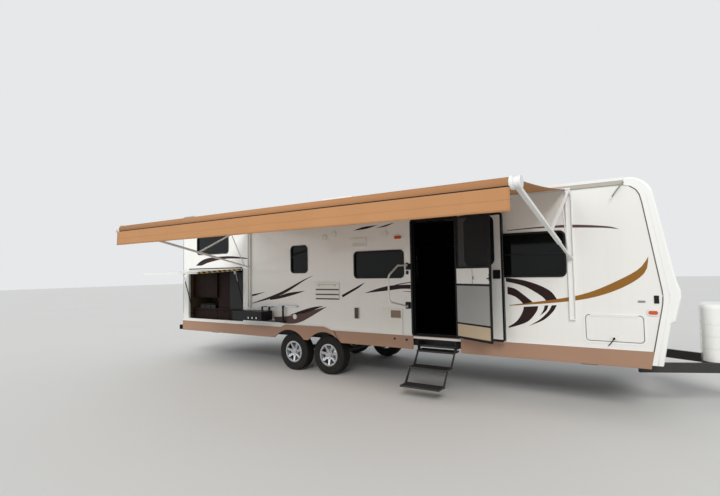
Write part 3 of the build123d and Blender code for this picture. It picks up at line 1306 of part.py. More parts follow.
def awning_roller():
    """Roller with its end caps and the arms' heads that carry it."""
    x0, x1 = arm_x[0] + ROLLER_PAST, arm_x[1] - ROLLER_PAST
    tube = rod((x0, roller_y, roller_z), (x1, roller_y, roller_z), ROLLER_R)
    for x, out in ((x0, 1), (x1, -1)):
        tube += rod((x - out * 14, roller_y, roller_z), (x, roller_y, roller_z), ROLLER_R + 8)
    for x in arm_x:
        tube += bar((x, *on_arm(ROLLER_OUT - HEAD_L)), (x, roller_y, roller_z), ARM_W + 12, ROLLER_R * 1.6)
    return [tube]


save("awning_roller", *awning_roller())


def awning_fabric():
    """Fabric from the wall rail to the roller, and the valance that hangs from it."""
    x0, x1 = arm_x[0] + FABRIC_PAST, arm_x[1] - FABRIC_PAST
    top_y, top_z = fabric_top
    end_y, end_z = roller_y, roller_z + ROLLER_R + SEAT_GAP
    mid = ((top_y + end_y) / 2, (top_z + end_z) / 2 - FABRIC_SAG)
    t = FABRIC_T
    face = make_face(
        ThreePointArc((top_y, top_z), mid, (end_y, end_z))
        + Line((end_y, end_z), (end_y, end_z + t))
        + ThreePointArc((end_y, end_z + t), (mid[0], mid[1] + t), (top_y, top_z + t))
        + Line((top_y, top_z + t), (top_y, top_z))
    )
    plane = Plane(origin=(x0, 0, 0), x_dir=(0, 1, 0), z_dir=(1, 0, 0))
    sheet = extrude(plane * face, x1 - x0)
    drop_y = roller_y - ROLLER_R - SEAT_GAP
    valance = block(x0, x1, drop_y, drop_y - t, roller_z - VALANCE_DROP, roller_z + 6)
    return [sheet, valance]


save("awning_fabric", *awning_fabric())


# Roof equipment
def roof_unit():
    """Air conditioner shroud on the roof, its ends sloped and louvred."""
    z0, z1 = up(ROOF_EDGE), up(AC_TOP)
    lean = AC_LEAN
    outline = Polyline((at(AC_FRONT), z0), (at(AC_FRONT + lean), z1), (at(AC_REAR - lean / 2), z1), (at(AC_REAR), z0), close=True)
    plane = Plane(origin=(0, -AC_HALF, 0), x_dir=(1, 0, 0), z_dir=(0, -1, 0))
    body = extrude(plane * make_face(outline), -2 * AC_HALF)
    body = fillet(body.faces().sort_by(Axis.Z)[-1].edges(), AC_EDGE_R)
    for i in range(AC_LOUVRES):
        z = z1 - AC_EDGE_R - 20 - i * AC_LOUVRE_PITCH
        for side in (-1, 1):
            body -= block(at(AC_REAR - lean), at(AC_FRONT + 2 * lean), side * (AC_HALF - 8), side * (AC_HALF + 5), z - 8, z + 8)
    return [body - roof_panel]


save("roof_unit", *roof_unit())


def roof_vents():
    """Square roof vents with domed lids."""
    parts = []
    z1 = up(ROOF_EDGE) + ROOF_CROWN + VENT_H
    for station, y in ROOF_VENTS:
        lid = block(at(station) - VENT_HALF, at(station) + VENT_HALF, y - VENT_HALF, y + VENT_HALF, up(ROOF_EDGE), z1)
        lid = fillet(lid.faces().sort_by(Axis.Z)[-1].edges(), 40)
        curb = block(at(station) - VENT_HALF - 15, at(station) + VENT_HALF + 15, y - VENT_HALF - 15, y + VENT_HALF + 15,
                     up(ROOF_EDGE), z1 - VENT_H + 20)
        parts.append(lid + curb - roof_panel)
    return parts


save("roof_vents", *roof_vents())

LADDER_Y = (-1140.0, -700.0)
LADDER_OUT = 95.0
LADDER_BOTTOM = 980.0
LADDER_TOP = 3270.0
LADDER_RUNGS = 7
LADDER_TUBE_R = 13.0
LADDER_BEND = 38.0
LADDER_REACH = 330.0
LADDER_STEP = 160.0          # lowest rung above the rails' lower ends


def ladder():
    """Tubular ladder whose side rails loop over the roof edge, with its rungs between them."""
    x = BODY_REAR_X - LADDER_OUT
    z0, z1 = up(LADDER_BOTTOM), up(LADDER_TOP)
    parts = []
    for y in LADDER_Y:
        path = FilletPolyline((BODY_REAR_X, y, z0), (x, y, z0), (x, y, z1), (BODY_REAR_X + LADDER_REACH, y, z1),
                              (BODY_REAR_X + LADDER_REACH, y, up(roof_height(abs(y) - LADDER_TUBE_R)) + SEAT_GAP), radius=LADDER_BEND)
        rail = sweep(Plane(origin=(BODY_REAR_X, y, z0), z_dir=(-1, 0, 0)) * Circle(LADDER_TUBE_R), path=path)
        joints = [z0 - 2 * LADDER_TUBE_R, z0 + LADDER_BEND, z1 - LADDER_BEND, z1 + 2 * LADDER_TUBE_R]
        for low, high in zip(joints[:-1], joints[1:]):
            parts.append(rail & block(x - 2 * LADDER_TUBE_R, BODY_REAR_X + LADDER_REACH + 2 * LADDER_TUBE_R,
                                      y - 2 * LADDER_TUBE_R, y + 2 * LADDER_TUBE_R, low, high))
    pitch = (up(WALL_TOP) - z0 - LADDER_STEP) / (LADDER_RUNGS - 1)
    y0, y1 = LADDER_Y[0] + LADDER_TUBE_R + SEAT_GAP, LADDER_Y[1] - LADDER_TUBE_R - SEAT_GAP
    for i in range(LADDER_RUNGS):
        z = z0 + LADDER_STEP + i * pitch
        parts.append(rod((x, y0, z), (x, y1, z), LADDER_TUBE_R - 1))
    return parts


save("ladder", *ladder())


# Entry steps
def step_side(x0, x1, low):
    """One side plate of the steps: the trays' ends, the links between them and the arm up to the mounting bar."""
    plate = block(x0, x1, CURB + WELL_BAR_IN + WELL_BAR, CURB - TREADS[0][1] + 40, up(TREADS[0][0]) - TREAD_T / 2,
                  low + 10 + WELL_BAR)
    for height, nose in TREADS:
        plate += block(x0, x1, CURB - nose, CURB - nose + TREAD_D, up(height) - TREAD_T, up(height))
    plane = Plane(origin=(x0, 0, 0), x_dir=(0, 1, 0), z_dir=(1, 0, 0))
    for (h0, nose0), (h1, nose1) in zip(TREADS[:-1], TREADS[1:]):
        outline = [(CURB - nose0 + 20, up(h0) - TREAD_T / 2), (CURB - nose0 + 80, up(h0) - TREAD_T / 2),
                   (CURB - nose1 + TREAD_D - 10, up(h1) - TREAD_T / 2), (CURB - nose1 + TREAD_D - 90, up(h1) - TREAD_T / 2)]
        plate += extrude(plane * make_face(Polyline(*outline, close=True)), x1 - x0)
    return plate


def entry_steps():
    """Step well under the floor, its mounting bar, and three tray treads between two side plates."""
    mid = (DOOR_FRONT + DOOR_REAR) / 2
    f, r = at(mid - TREAD_W / 2), at(mid + TREAD_W / 2)
    well_z, t = up(floor_bottom), STEP_SIDE_T
    low = well_z - WELL_H
    well = block(f + 20, r - 20, CURB + 2, CURB + WELL_DEPTH, low, well_z)
    well -= block(f + 14, r - 14, CURB - 10, CURB + WELL_DEPTH - WELL_WALL, low - 10, well_z - WELL_WALL)
    for x0, x1 in ((f + t, f + 15), (r - t, r - 15)):
        well += block(x0, x1, CURB + WELL_BAR_IN + 4, CURB + WELL_BAR_IN + WELL_BAR - 4, low + 14, low + 6 + WELL_BAR)
    parts = [well, step_side(f, f + t, low), step_side(r - t, r, low)]
    parts.append(block(f, r, CURB + WELL_BAR_IN, CURB + WELL_BAR_IN + WELL_BAR, low + 10, low + 10 + WELL_BAR))
    for height, nose in TREADS:
        y, top = CURB - nose, up(height)
        tread = block(f, r, y, y + TREAD_D, top - TREAD_T, top)
        parts.append(tread - block(f + 4, r - 4, y + 4, y + TREAD_D - 4, top - TREAD_T - 5, top - 4))
    return parts


save("entry_steps", *entry_steps())


# Tongue jack
def jack_tube():
    """Fixed outer tube of the power jack with its head and mounting plate."""
    plate_z = up(rail_bottom)
    tube = rod((JACK_X, 0, plate_z - JACK_BELOW), (JACK_X, 0, plate_z + JACK_ABOVE), JACK_TUBE_R)
    plate = block(JACK_X - 90, JACK_X + 70, -JACK_PLATE_HALF, JACK_PLATE_HALF, plate_z, plate_z + 10)
    head = block(JACK_X - 75, JACK_X + 75, -70, 70, plate_z + JACK_ABOVE, plate_z + JACK_ABOVE + JACK_HEAD_H)
    head = fillet(head.edges().filter_by(Axis.Z), 40)
    head = fillet(head.faces().sort_by(Axis.Z)[-1].edges(), 22)
    shape = tube + plate + head
    return [shape - rod((JACK_X, 0, plate_z - JACK_BELOW - 5), (JACK_X, 0, plate_z + JACK_ABOVE - 60), JACK_LEG_R + JACK_GAP)]


def jack_leg():
    """Inner leg with its foot on the ground."""
    leg = rod((JACK_X, 0, up(8)), (JACK_X, 0, up(rail_bottom) + JACK_LEG_IN), JACK_LEG_R)
    return [leg + rod((JACK_X, 0, up(0)), (JACK_X, 0, up(10)), JACK_FOOT_R)]


save("jack_tube", *jack_tube())
save("jack_leg", *jack_leg())


def lp_cover():
    """Moulded cover over the two gas bottles, on the frame's arms, with grooves moulded round it."""
    z0, z1 = up(rail_bottom), up(LP_TOP)
    body = block(LP_REAR, LP_FRONT, -LP_HALF, LP_HALF, z0, z1)
    body = fillet(body.edges().filter_by(Axis.Z), LP_CORNER_R)
    outline = body
    body = fillet(body.faces().sort_by(Axis.Z)[-1].edges(), LP_TOP_R)
    core = block(LP_REAR + LP_GROOVE, LP_FRONT - LP_GROOVE, -LP_HALF + LP_GROOVE, LP_HALF - LP_GROOVE, z0, z1)
    core = fillet(core.edges().filter_by(Axis.Z), LP_CORNER_R - LP_GROOVE)
    for height in LP_GROOVES:
        band = block(LP_REAR - 5, LP_FRONT + 5, -LP_HALF - 5, LP_HALF + 5, up(height), up(height + LP_GROOVE_H))
        body -= (outline & band) - core
    return [body]


save("lp_cover", *lp_cover())

STABILISERS = [(s, side) for s in (1100.0, BODY_LENGTH - 640.0) for side in (1.0, -1.0)]
SCISSOR_H = 72.0
SCISSOR_W = 90.0
SCISSOR_L = 560.0


def stabilisers():
    """Folded scissor jacks under the corners of the frame: top channel, crossed arms, foot and screw."""
    parts = []
    z1 = up(rail_bottom)
    low = z1 - SCISSOR_H
    for station, s in STABILISERS:
        x, y = at(station), s * (RAIL_Y + 20)
        half = SCISSOR_W / 2
        jack = block(x - SCISSOR_L / 2, x + SCISSOR_L / 2, y - half, y + half, z1 - 8, z1)
        jack += block(x - 110, x + 110, y - half, y + half, low, low + 8)
        mid = (z1 + low) / 2
        for end in (-1, 1):
            for side in (-1, 1):
                arm_y = y + side * (half - 8)
                jack += bar((x + end * 60, arm_y, z1 - 17), (x + end * 250, arm_y, mid), 12, 22, across=(0, 1, 0))
                jack += bar((x + end * 60, arm_y, low + 17), (x + end * 250, arm_y, mid), 12, 22, across=(0, 1, 0))
            jack += rod((x + end * 250, y - half, mid), (x + end * 250, y + half, mid), 13)
        jack += rod((x - 290, y, mid), (x + 262, y, mid), 8)
        parts.append(jack)
    return parts


save("stabilisers", *stabilisers())

RAIL_FRONT = BODY_LENGTH - 3592.0
RAIL_REAR = BODY_LENGTH - 2692.0
GRILL_POST = BODY_LENGTH - 3242.0
GRILL_FRONT = BODY_LENGTH - 2972.0
GRILL_REAR = BODY_LENGTH - 2142.0
GRILL_BOTTOM = 980.0
GRILL_TOP = 1160.0
GRILL_RAIL_H = 1250.0
GRILL_FOOT_H = 937.0
GRILL_IN = 60.0
GRILL_D = 300.0
GRILL_KNOBS = 3
GRILL_KNOB_PITCH = 110.0


def camp_grill():
    """Folding cooking station: the rail on the wall, the grill box that hangs from it and its fixed post."""
    rail_z = up(GRILL_RAIL_H)
    rail = block(at(RAIL_FRONT), at(RAIL_REAR), CURB - 40, CURB, rail_z - 12, rail_z + 12)
    rail -= block(at(RAIL_FRONT) + 1, at(RAIL_REAR) - 1, CURB - 30, CURB - 14, rail_z - 4, rail_z + 13)
    x = at(GRILL_POST)
    post = block(x - 15, x + 15, CURB - 40 - SEAT_GAP - 24, CURB - 40 - SEAT_GAP, up(GRILL_FOOT_H), rail_z + 10)
    post += block(x - 15, at(RAIL_REAR), CURB - 40 - SEAT_GAP - 24, CURB - 40 - SEAT_GAP, up(GRILL_FOOT_H),
                  up(GRILL_FOOT_H) + 24)
    post += block(x - 30, x + 30, CURB - 40 - SEAT_GAP - 20, CURB, up(GRILL_FOOT_H), up(GRILL_FOOT_H) + 24)
    z0, z1 = up(GRILL_BOTTOM), up(GRILL_TOP)
    near, far = CURB - GRILL_IN, CURB - GRILL_IN - GRILL_D
    box = block(at(GRILL_FRONT), at(GRILL_REAR), far, near, z0, z1)
    box = fillet(box.edges().filter_by(Axis.Z), 18)
    box = fillet(box.faces().sort_by(Axis.Z)[-1].edges(), 16)
    lid_line = block(at(GRILL_FRONT) + 5, at(GRILL_REAR) - 5, far - 5, near + 5, z1 - 62, z1 - 58)
    box -= lid_line - block(at(GRILL_FRONT + 5), at(GRILL_REAR - 5), far + 5, near - 5, z1 - 70, z1 - 50)
    for i in range(GRILL_KNOBS):
        knob_x = at(GRILL_FRONT + 120 + i * GRILL_KNOB_PITCH)
        box += rod((knob_x, far - 22, z0 + 56), (knob_x, far + 1, z0 + 56), 20)
    for along in (40, RAIL_REAR - GRILL_FRONT - 40):
        hook_x = at(GRILL_FRONT + along)
        box += block(hook_x - 16, hook_x + 16, near - 60, near - 40, z1 - 10, rail_z - 12 - SEAT_GAP)
        box += block(hook_x - 16, hook_x + 16, near - 60, CURB, rail_z - 12 - SEAT_GAP - 14, rail_z - 12 - SEAT_GAP)
    return [rail, post, box]


save("camp_grill", *camp_grill())
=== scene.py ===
"""Dresses the parked travel caravan.

It adds finishes, vinyl stripes, the awning's cloth, tyres, small fixings, the camera and the light.
"""

import logging
import math
from collections.abc import Callable, Sequence
from dataclasses import dataclass, field
from enum import Enum
from typing import ClassVar

import bmesh
import bpy
from mathutils import Matrix, Vector


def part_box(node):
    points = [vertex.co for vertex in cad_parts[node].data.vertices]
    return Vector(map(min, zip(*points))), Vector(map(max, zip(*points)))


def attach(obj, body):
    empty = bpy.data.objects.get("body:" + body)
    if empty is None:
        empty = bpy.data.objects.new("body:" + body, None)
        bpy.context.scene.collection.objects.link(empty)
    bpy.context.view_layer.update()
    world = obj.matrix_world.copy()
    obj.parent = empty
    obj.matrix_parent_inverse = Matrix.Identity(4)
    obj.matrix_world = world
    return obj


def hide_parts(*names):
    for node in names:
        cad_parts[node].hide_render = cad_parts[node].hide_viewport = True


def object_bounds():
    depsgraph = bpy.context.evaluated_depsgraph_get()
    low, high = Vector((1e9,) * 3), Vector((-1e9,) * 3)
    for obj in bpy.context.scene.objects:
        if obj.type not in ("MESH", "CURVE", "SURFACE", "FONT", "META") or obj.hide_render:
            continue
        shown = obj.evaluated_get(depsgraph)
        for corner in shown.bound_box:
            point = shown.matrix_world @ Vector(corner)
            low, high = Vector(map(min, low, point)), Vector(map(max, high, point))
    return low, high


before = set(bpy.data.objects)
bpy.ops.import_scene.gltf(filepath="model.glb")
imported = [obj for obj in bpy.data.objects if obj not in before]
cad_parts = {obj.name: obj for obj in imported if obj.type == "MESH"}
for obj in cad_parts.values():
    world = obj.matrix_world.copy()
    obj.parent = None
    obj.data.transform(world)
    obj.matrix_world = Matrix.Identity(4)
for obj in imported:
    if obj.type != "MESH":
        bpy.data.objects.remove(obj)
CAD_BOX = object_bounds()
log = logging.getLogger("caravan")

MM = 0.001
BALL_HEIGHT = -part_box("jack_leg")[0].z
NOSE_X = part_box("front_cap")[1].x
CURB_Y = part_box("curb_wall")[0].y
OFF_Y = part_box("off_wall")[1].y
# Each side's name, the face of its wall, and the sign of its outward direction
SIDES = (("curb", CURB_Y, -1.0), ("off", OFF_Y, 1.0))
# The hinge line of both entry doors, and how far each stands open
HINGE = Vector((NOSE_X - 2.860, CURB_Y - 0.022, 0.0))
SCREEN_OPEN = math.radians(152)
DOOR_OPEN = math.radians(170)
ALONG = Vector((1, 0, 0))
ACROSS = Vector((0, 1, 0))

Pair = tuple[float, float]
Triple = tuple[float, float, float]
# A point of a line in a plane, such as (station, height), and a place in space
Point = tuple[float, float]
Place = tuple[float, float, float]
# Front station, rear station, lower height and upper height of an outline on a wall
Span = tuple[float, float, float, float]

# Steps of a rounded corner, the distance at which two corners of a mesh are one, and the share of a
# plate's thickness that its eased edge takes
CORNER_STEPS = 8
TOUCHING = 1e-6
EASED = 0.3


def at(station: float) -> float:
    """X of a station behind the nose, in metres."""
    return NOSE_X - station


def up(height: float) -> float:
    """Z of a height above the ground, in metres."""
    return height - BALL_HEIGHT


def mark(station: float, y: float, height: float) -> Vector:
    """The place at a station behind the nose, a Y and a height above the ground."""
    return Vector((at(station), y, up(height)))


def linear(code: str) -> tuple[float, float, float, float]:
    """Turn an sRGB hex colour into the linear values that the shaders take.

    Args:
        code: Six hex digits, such as "E8E8E4".

    Returns:
        Linear red, green and blue, and an alpha of one.
    """
    parts = [int(code[i:i + 2], 16) / 255 for i in (0, 2, 4)]
    low = [c / 12.92 if c <= 0.04045 else ((c + 0.055) / 1.055) ** 2.4 for c in parts]
    return (low[0], low[1], low[2], 1.0)


def add_node(tree: bpy.types.NodeTree, kind: str, inputs: dict | None = None, **settings) -> bpy.types.Node:
    """Add a node with its settings, values and links.

    Args:
        tree: The tree that takes the node.
        kind: The node's type name.
        inputs: Values or output sockets by the input's name or number.
        **settings: Properties of the node itself.

    Returns:
        The new node.
    """
    node = tree.nodes.new(kind)
    for name, value in settings.items():
        setattr(node, name, value)
    for name, value in (inputs or {}).items():
        if isinstance(value, bpy.types.NodeSocket):
            tree.links.new(value, node.inputs[name])
        else:
            node.inputs[name].default_value = value
    return node


class Grain(Enum):
    """How a surface was made, as its fine relief."""

    SMOOTH = "smooth"
    PEEL = "peel"          # sprayed or moulded gel: soft ripple
    CAST = "cast"          # pebbled moulding or casting
    BRUSHED = "brushed"    # drawn along its length
    WOVEN = "woven"        # threads over and under
    TIMBER = "timber"      # wood figure
    RIBBED = "ribbed"      # fine parallel ribs


@dataclass(frozen=True)
class Finish:
    """One real surface: its colour, sheen and relief."""

    name: str
    colour: str
    second: str
    roughness: float = 0.4
    metallic: float = 0.0
    coat: float = 0.0
    specular: float = 0.5
    patch_mm: float = 400.0
    patch: float = 0.5
    grain: Grain = Grain.SMOOTH
    grain_mm: float = 6.0
    depth_mm: float = 0.1
    see_through: float = 0.0
    weathered: bool = False
    on_uv: bool = False

    # A wave texture's scale is divided by this, so that a rib and the gap beside it are two grains wide
    WAVE_SHARE: ClassVar[float] = 6.3
    BUMP_STRENGTH: ClassVar[float] = 0.6
    # Drawn lines and wood pores are 25 times as long as they are wide
    DRAWN: ClassVar[Triple] = (0.04, 1.0, 1.0)
    # Wood figure: bent bands about 45 mm apart, and the most that their colour is mixed in
    FIGURE_SCALE: ClassVar[float] = 7.0
    FIGURE_BEND: ClassVar[float] = 6.0
    FIGURE_SHARE: ClassVar[float] = 0.45
    # Rain streaks about 0.1 m wide and 3 m long, which show where their noise is above the first value
    STREAK_SCALE: ClassVar[Triple] = (9.0, 9.0, 0.35)
    STREAK_FROM: ClassVar[Pair] = (0.5, 0.8)
    STREAK_SHARE: ClassVar[float] = 0.06
    # Road dust, thickest at the skirt's foot and gone at the second height, in metres
    DUST: ClassVar[str] = "A3937F"
    DUST_HEIGHTS: ClassVar[Pair] = (0.63, 1.25)
    DUST_SHARE: ClassVar[float] = 0.12

    def material(self) -> bpy.types.Material:
        """The finish's material, made once."""
        return bpy.data.materials.get(self.name) or self._build()

    def _build(self) -> bpy.types.Material:
        """Build the node tree of the finish.

        Returns:
            The new material.
        """
        made = bpy.data.materials.new(self.name)
        made.use_nodes = True
        tree = made.node_tree
        tree.nodes.clear()
        where = add_node(tree, "ShaderNodeTexCoord").outputs["UV" if self.on_uv else "Object"]
        spread = {"Vector": where, "Scale": 1 / (self.patch_mm * MM), "Detail": 4.0}
        patches = add_node(tree, "ShaderNodeTexNoise", spread).outputs["Fac"]
        amount = add_node(tree, "ShaderNodeMath", {0: patches, 1: self.patch}, operation="MULTIPLY")
        colours = {"Factor": amount.outputs[0], 6: linear(self.colour), 7: linear(self.second)}
        colour = add_node(tree, "ShaderNodeMix", colours, data_type="RGBA").outputs[2]
        if self.grain is Grain.TIMBER:
            colour = self._figure(tree, where, colour)
        if self.weathered:
            colour = self._weather(tree, where, colour)
        values = {"Base Color": colour, "Metallic": self.metallic, "Roughness": self.roughness,
                  "Coat Weight": self.coat, "Specular IOR Level": self.specular}
        shader = add_node(tree, "ShaderNodeBsdfPrincipled", values)
        if self.grain is not Grain.SMOOTH:
            tree.links.new(self._relief(tree, where), shader.inputs["Normal"])
        if self.see_through:
            shader.inputs["Alpha"].default_value = 1 - self.see_through
        add_node(tree, "ShaderNodeOutputMaterial", {0: shader.outputs[0]})
        return made

    def _relief(self, tree: bpy.types.NodeTree, where: bpy.types.NodeSocket) -> bpy.types.NodeSocket:
        """Add the bump of the surface's grain.

        Args:
            tree: The material's tree.
            where: The coordinates that the grain follows.

        Returns:
            The bump's normal output.
        """
        scale = 1 / (self.grain_mm * MM)
        wave = {"Vector": where, "Scale": scale / self.WAVE_SHARE}
        if self.grain is Grain.WOVEN:
            warp = add_node(tree, "ShaderNodeTexWave", wave, bands_direction="X").outputs["Fac"]
            weft = add_node(tree, "ShaderNodeTexWave", wave, bands_direction="Y").outputs["Fac"]
            height = add_node(tree, "ShaderNodeMath", {0: warp, 1: weft}, operation="ADD").outputs[0]
        elif self.grain is Grain.RIBBED:
            height = add_node(tree, "ShaderNodeTexWave", wave, bands_direction="X").outputs["Fac"]
        elif self.grain in (Grain.BRUSHED, Grain.TIMBER):
            drawn = add_node(tree, "ShaderNodeMapping", {"Vector": where, "Scale": self.DRAWN}).outputs[0]
            lines = {"Vector": drawn, "Scale": scale, "Detail": 3.0}
            height = add_node(tree, "ShaderNodeTexNoise", lines).outputs["Fac"]
        elif self.grain is Grain.CAST:
            cells = {"Vector": where, "Scale": scale}
            height = add_node(tree, "ShaderNodeTexVoronoi", cells).outputs["Distance"]
        else:
            ripple = {"Vector": where, "Scale": scale, "Detail": 2.0}
            height = add_node(tree, "ShaderNodeTexNoise", ripple).outputs["Fac"]
        depth = {"Height": height, "Distance": self.depth_mm * MM, "Strength": self.BUMP_STRENGTH}
        return add_node(tree, "ShaderNodeBump", depth).outputs[0]

    def _figure(self, tree: bpy.types.NodeTree, where: bpy.types.NodeSocket,
                colour: bpy.types.NodeSocket) -> bpy.types.NodeSocket:
        """Add wood figure: long bent bands in the second colour.

        Args:
            tree: The material's tree.
            where: The coordinates that the figure follows.
            colour: The colour under the figure.

        Returns:
            The colour with its figure.
        """
        bend = {"Vector": where, "Scale": self.FIGURE_SCALE, "Distortion": self.FIGURE_BEND, "Detail": 3.0}
        bands = add_node(tree, "ShaderNodeTexWave", bend, bands_direction="X").outputs["Fac"]
        share = add_node(tree, "ShaderNodeMath", {0: bands, 1: self.FIGURE_SHARE}, operation="MULTIPLY")
        colours = {"Factor": share.outputs[0], 6: colour, 7: linear(self.second)}
        return add_node(tree, "ShaderNodeMix", colours, data_type="RGBA").outputs[2]

    def _weather(self, tree: bpy.types.NodeTree, where: bpy.types.NodeSocket,
                 colour: bpy.types.NodeSocket) -> bpy.types.NodeSocket:
        """Add rain streaks down the face, and road dust that thins out above the skirt.

        Args:
            tree: The material's tree.
            where: The coordinates that the weathering follows.
            colour: The clean colour.

        Returns:
            The weathered colour.
        """
        drawn = add_node(tree, "ShaderNodeMapping", {"Vector": where, "Scale": self.STREAK_SCALE}).outputs[0]
        streaks = add_node(tree, "ShaderNodeTexNoise", {"Vector": drawn, "Scale": 1.0, "Detail": 5.0})
        low, high = self.STREAK_FROM
        shown = {"Value": streaks.outputs["Fac"], "From Min": low, "From Max": high, "To Min": 0.0,
                 "To Max": self.STREAK_SHARE}
        faint = add_node(tree, "ShaderNodeMapRange", shown)
        height = add_node(tree, "ShaderNodeSeparateXYZ", {0: where}).outputs["Z"]
        low, high = self.DUST_HEIGHTS
        thrown = {"Value": height, "From Min": up(low), "From Max": up(high), "To Min": self.DUST_SHARE,
                  "To Max": 0.0}
        dust = add_node(tree, "ShaderNodeMapRange", thrown)
        share = add_node(tree, "ShaderNodeMath", {0: faint.outputs[0], 1: dust.outputs[0]}, operation="ADD")
        colours = {"Factor": share.outputs[0], 6: colour, 7: linear(self.DUST)}
        return add_node(tree, "ShaderNodeMix", colours, data_type="RGBA").outputs[2]


# Gel-coated laminate: smooth and slightly wavy, so its highlight breaks up on a large face
GEL_COAT = Finish("gelcoat_laminate", "E6E5E0", "DDDBD4", 0.28, coat=0.35, patch_mm=900, grain=Grain.PEEL,
                  grain_mm=70, depth_mm=0.35, weathered=True)
# Moulded gel coat of the cap: glossier and whiter than the flat walls
CAP_GEL = Finish("gelcoat_moulded", "ECECE8", "E2E2DD", 0.22, coat=0.5, patch_mm=700, grain=Grain.PEEL,
                 grain_mm=60, depth_mm=0.3, weathered=True)
# Roof membrane: matt, with a pebbled back showing through
MEMBRANE = Finish("roof_membrane_tpo", "D4D4CE", "BDBBB2", 0.7, patch_mm=600, grain=Grain.CAST, grain_mm=9,
                  depth_mm=0.4)
# Painted aluminium skin of the skirt: satin taupe
SKIRT_PAINT = Finish("painted_aluminium_taupe", "A28069", "93725D", 0.45, specular=0.3, patch_mm=500,
                     grain=Grain.PEEL, grain_mm=40, depth_mm=0.2)
# Chassis enamel: brushed on, dull black with road dust
CHASSIS = Finish("chassis_enamel", "1E1E20", "3A352F", 0.55, patch_mm=180, patch=0.7, grain=Grain.PEEL,
                 grain_mm=14, depth_mm=0.25)
# Vulcanised rubber: near black, dusty in patches
RUBBER = Finish("vulcanised_rubber", "171717", "2E2B27", 0.8, specular=0.25, patch_mm=90, patch=0.7,
                grain=Grain.CAST, grain_mm=5, depth_mm=0.25)
# Cast alloy wheel, machined and lacquered: bright, with a soft ripple under the lacquer
ALLOY = Finish("cast_alloy_lacquered", "C3C5C8", "A9ABAE", 0.24, metallic=1.0, coat=0.4, patch_mm=60,
               grain=Grain.PEEL, grain_mm=8, depth_mm=0.08)
# ABS moulding, black with a fine grain
BLACK_ABS = Finish("abs_black_moulded", "131416", "1E1F21", 0.5, specular=0.2, patch_mm=120, grain=Grain.CAST,
                   grain_mm=4, depth_mm=0.12)
# Tinted acrylic glazing: nearly black, mirror smooth
GLAZING = Finish("tinted_glazing", "0A0C0D", "101313", 0.06, specular=0.1, patch_mm=800)
# Powder coat: white, finely pebbled
POWDER = Finish("powder_coat_white", "E8E8E5", "DCDCD8", 0.34, patch_mm=300, grain=Grain.CAST, grain_mm=5,
                depth_mm=0.1)
# White ABS moulding of vents and the roof unit, a little yellowed
WHITE_ABS = Finish("abs_white_moulded", "E2E1DA", "D7D4CA", 0.4, patch_mm=250, grain=Grain.CAST, grain_mm=4,
                   depth_mm=0.1)
# Mill-finish aluminium: drawn lines along the bar
MILL = Finish("mill_aluminium", "B9BBBD", "9FA1A3", 0.36, metallic=1.0, patch_mm=120, grain=Grain.BRUSHED,
              grain_mm=4, depth_mm=0.1)
# Extruded aluminium gutter with a baked coat, painted stone grey as painted shade under the roof's edge
GUTTER_PAINTED_SHADE = Finish("gutter_painted_shade", "B0AA9D", "A19B8E", 0.45, patch_mm=300, grain=Grain.PEEL, grain_mm=20,
                depth_mm=0.1)
# Plated steel: bright and mirror smooth
PLATED = Finish("chromed_steel", "C9CACB", "B4B6B8", 0.12, metallic=1.0, patch_mm=80)
# Woven acrylic awning cloth: tan, threads drawn coarser than the real 1 mm so that they show
CLOTH = Finish("acrylic_awning_cloth", "BC8B60", "AB7A52", 0.9, specular=0.2, patch_mm=350, patch=0.6,
               grain=Grain.WOVEN, grain_mm=6, depth_mm=0.5, on_uv=True)
# The same acrylic cloth wound tight, where its weave is seen edge on
ROLLED = Finish("acrylic_cloth_rolled", "B3825A", "9F714C", 0.9, specular=0.2, patch_mm=300, patch=0.6,
                grain=Grain.RIBBED, grain_mm=30, depth_mm=0.4)
# Bonded polyester thread, darker than the cloth it is sewn into
STITCH = Finish("polyester_thread", "7E5A3C", "6B4A30", 0.6, patch_mm=40)
# Woven insect mesh: dark and partly clear, its threads drawn coarser than the real 0.3 mm so that they show
MESH = Finish("insect_mesh", "16171A", "22252A", 0.7, patch_mm=50, grain=Grain.WOVEN, grain_mm=8,
              depth_mm=0.3, see_through=0.45)
# Laminate with a dark cherry figure, darkened further towards black as painted shade of the deep galley and
# cabin
CHERRY_PAINTED_SHADE = Finish("cherry_laminate_painted_shade", "2A1A14", "1A100D", 0.55, specular=0.08, patch_mm=200, grain=Grain.TIMBER,
                grain_mm=10, depth_mm=0.1)
# Khaki wallboard of the galley's shell: matt, faintly uneven
WALLBOARD = Finish("khaki_wallboard", "564A34", "463C29", 0.7, specular=0.1, patch_mm=300, grain=Grain.PEEL,
                   grain_mm=20, depth_mm=0.1)
# Enamelled appliance fronts: black, with a fine stipple
APPLIANCE = Finish("appliance_enamel", "121314", "1B1C1E", 0.4, specular=0.2, patch_mm=200, grain=Grain.CAST,
                   grain_mm=4, depth_mm=0.08)
# Laminate worktop: dark specks about 8 mm apart
WORKTOP = Finish("speckled_laminate", "5A5249", "332E28", 0.4, specular=0.3, patch_mm=8, patch=0.8)
# Sealed plywood underside: dull, with open grain
PLYWOOD = Finish("sealed_plywood", "4A4037", "332C25", 0.7, patch_mm=300, grain=Grain.TIMBER, grain_mm=20,
                 depth_mm=0.2)
# Polycarbonate lamp lenses, ribbed inside, so that they glitter in lines
AMBER = Finish("polycarbonate_amber", "CC4C16", "AE3E0E", 0.2, coat=0.5, patch_mm=60, grain=Grain.RIBBED,
               grain_mm=8, depth_mm=0.6)
RED = Finish("polycarbonate_red", "A01512", "7D0F0D", 0.2, coat=0.5, patch_mm=60, grain=Grain.RIBBED,
             grain_mm=8, depth_mm=0.6)
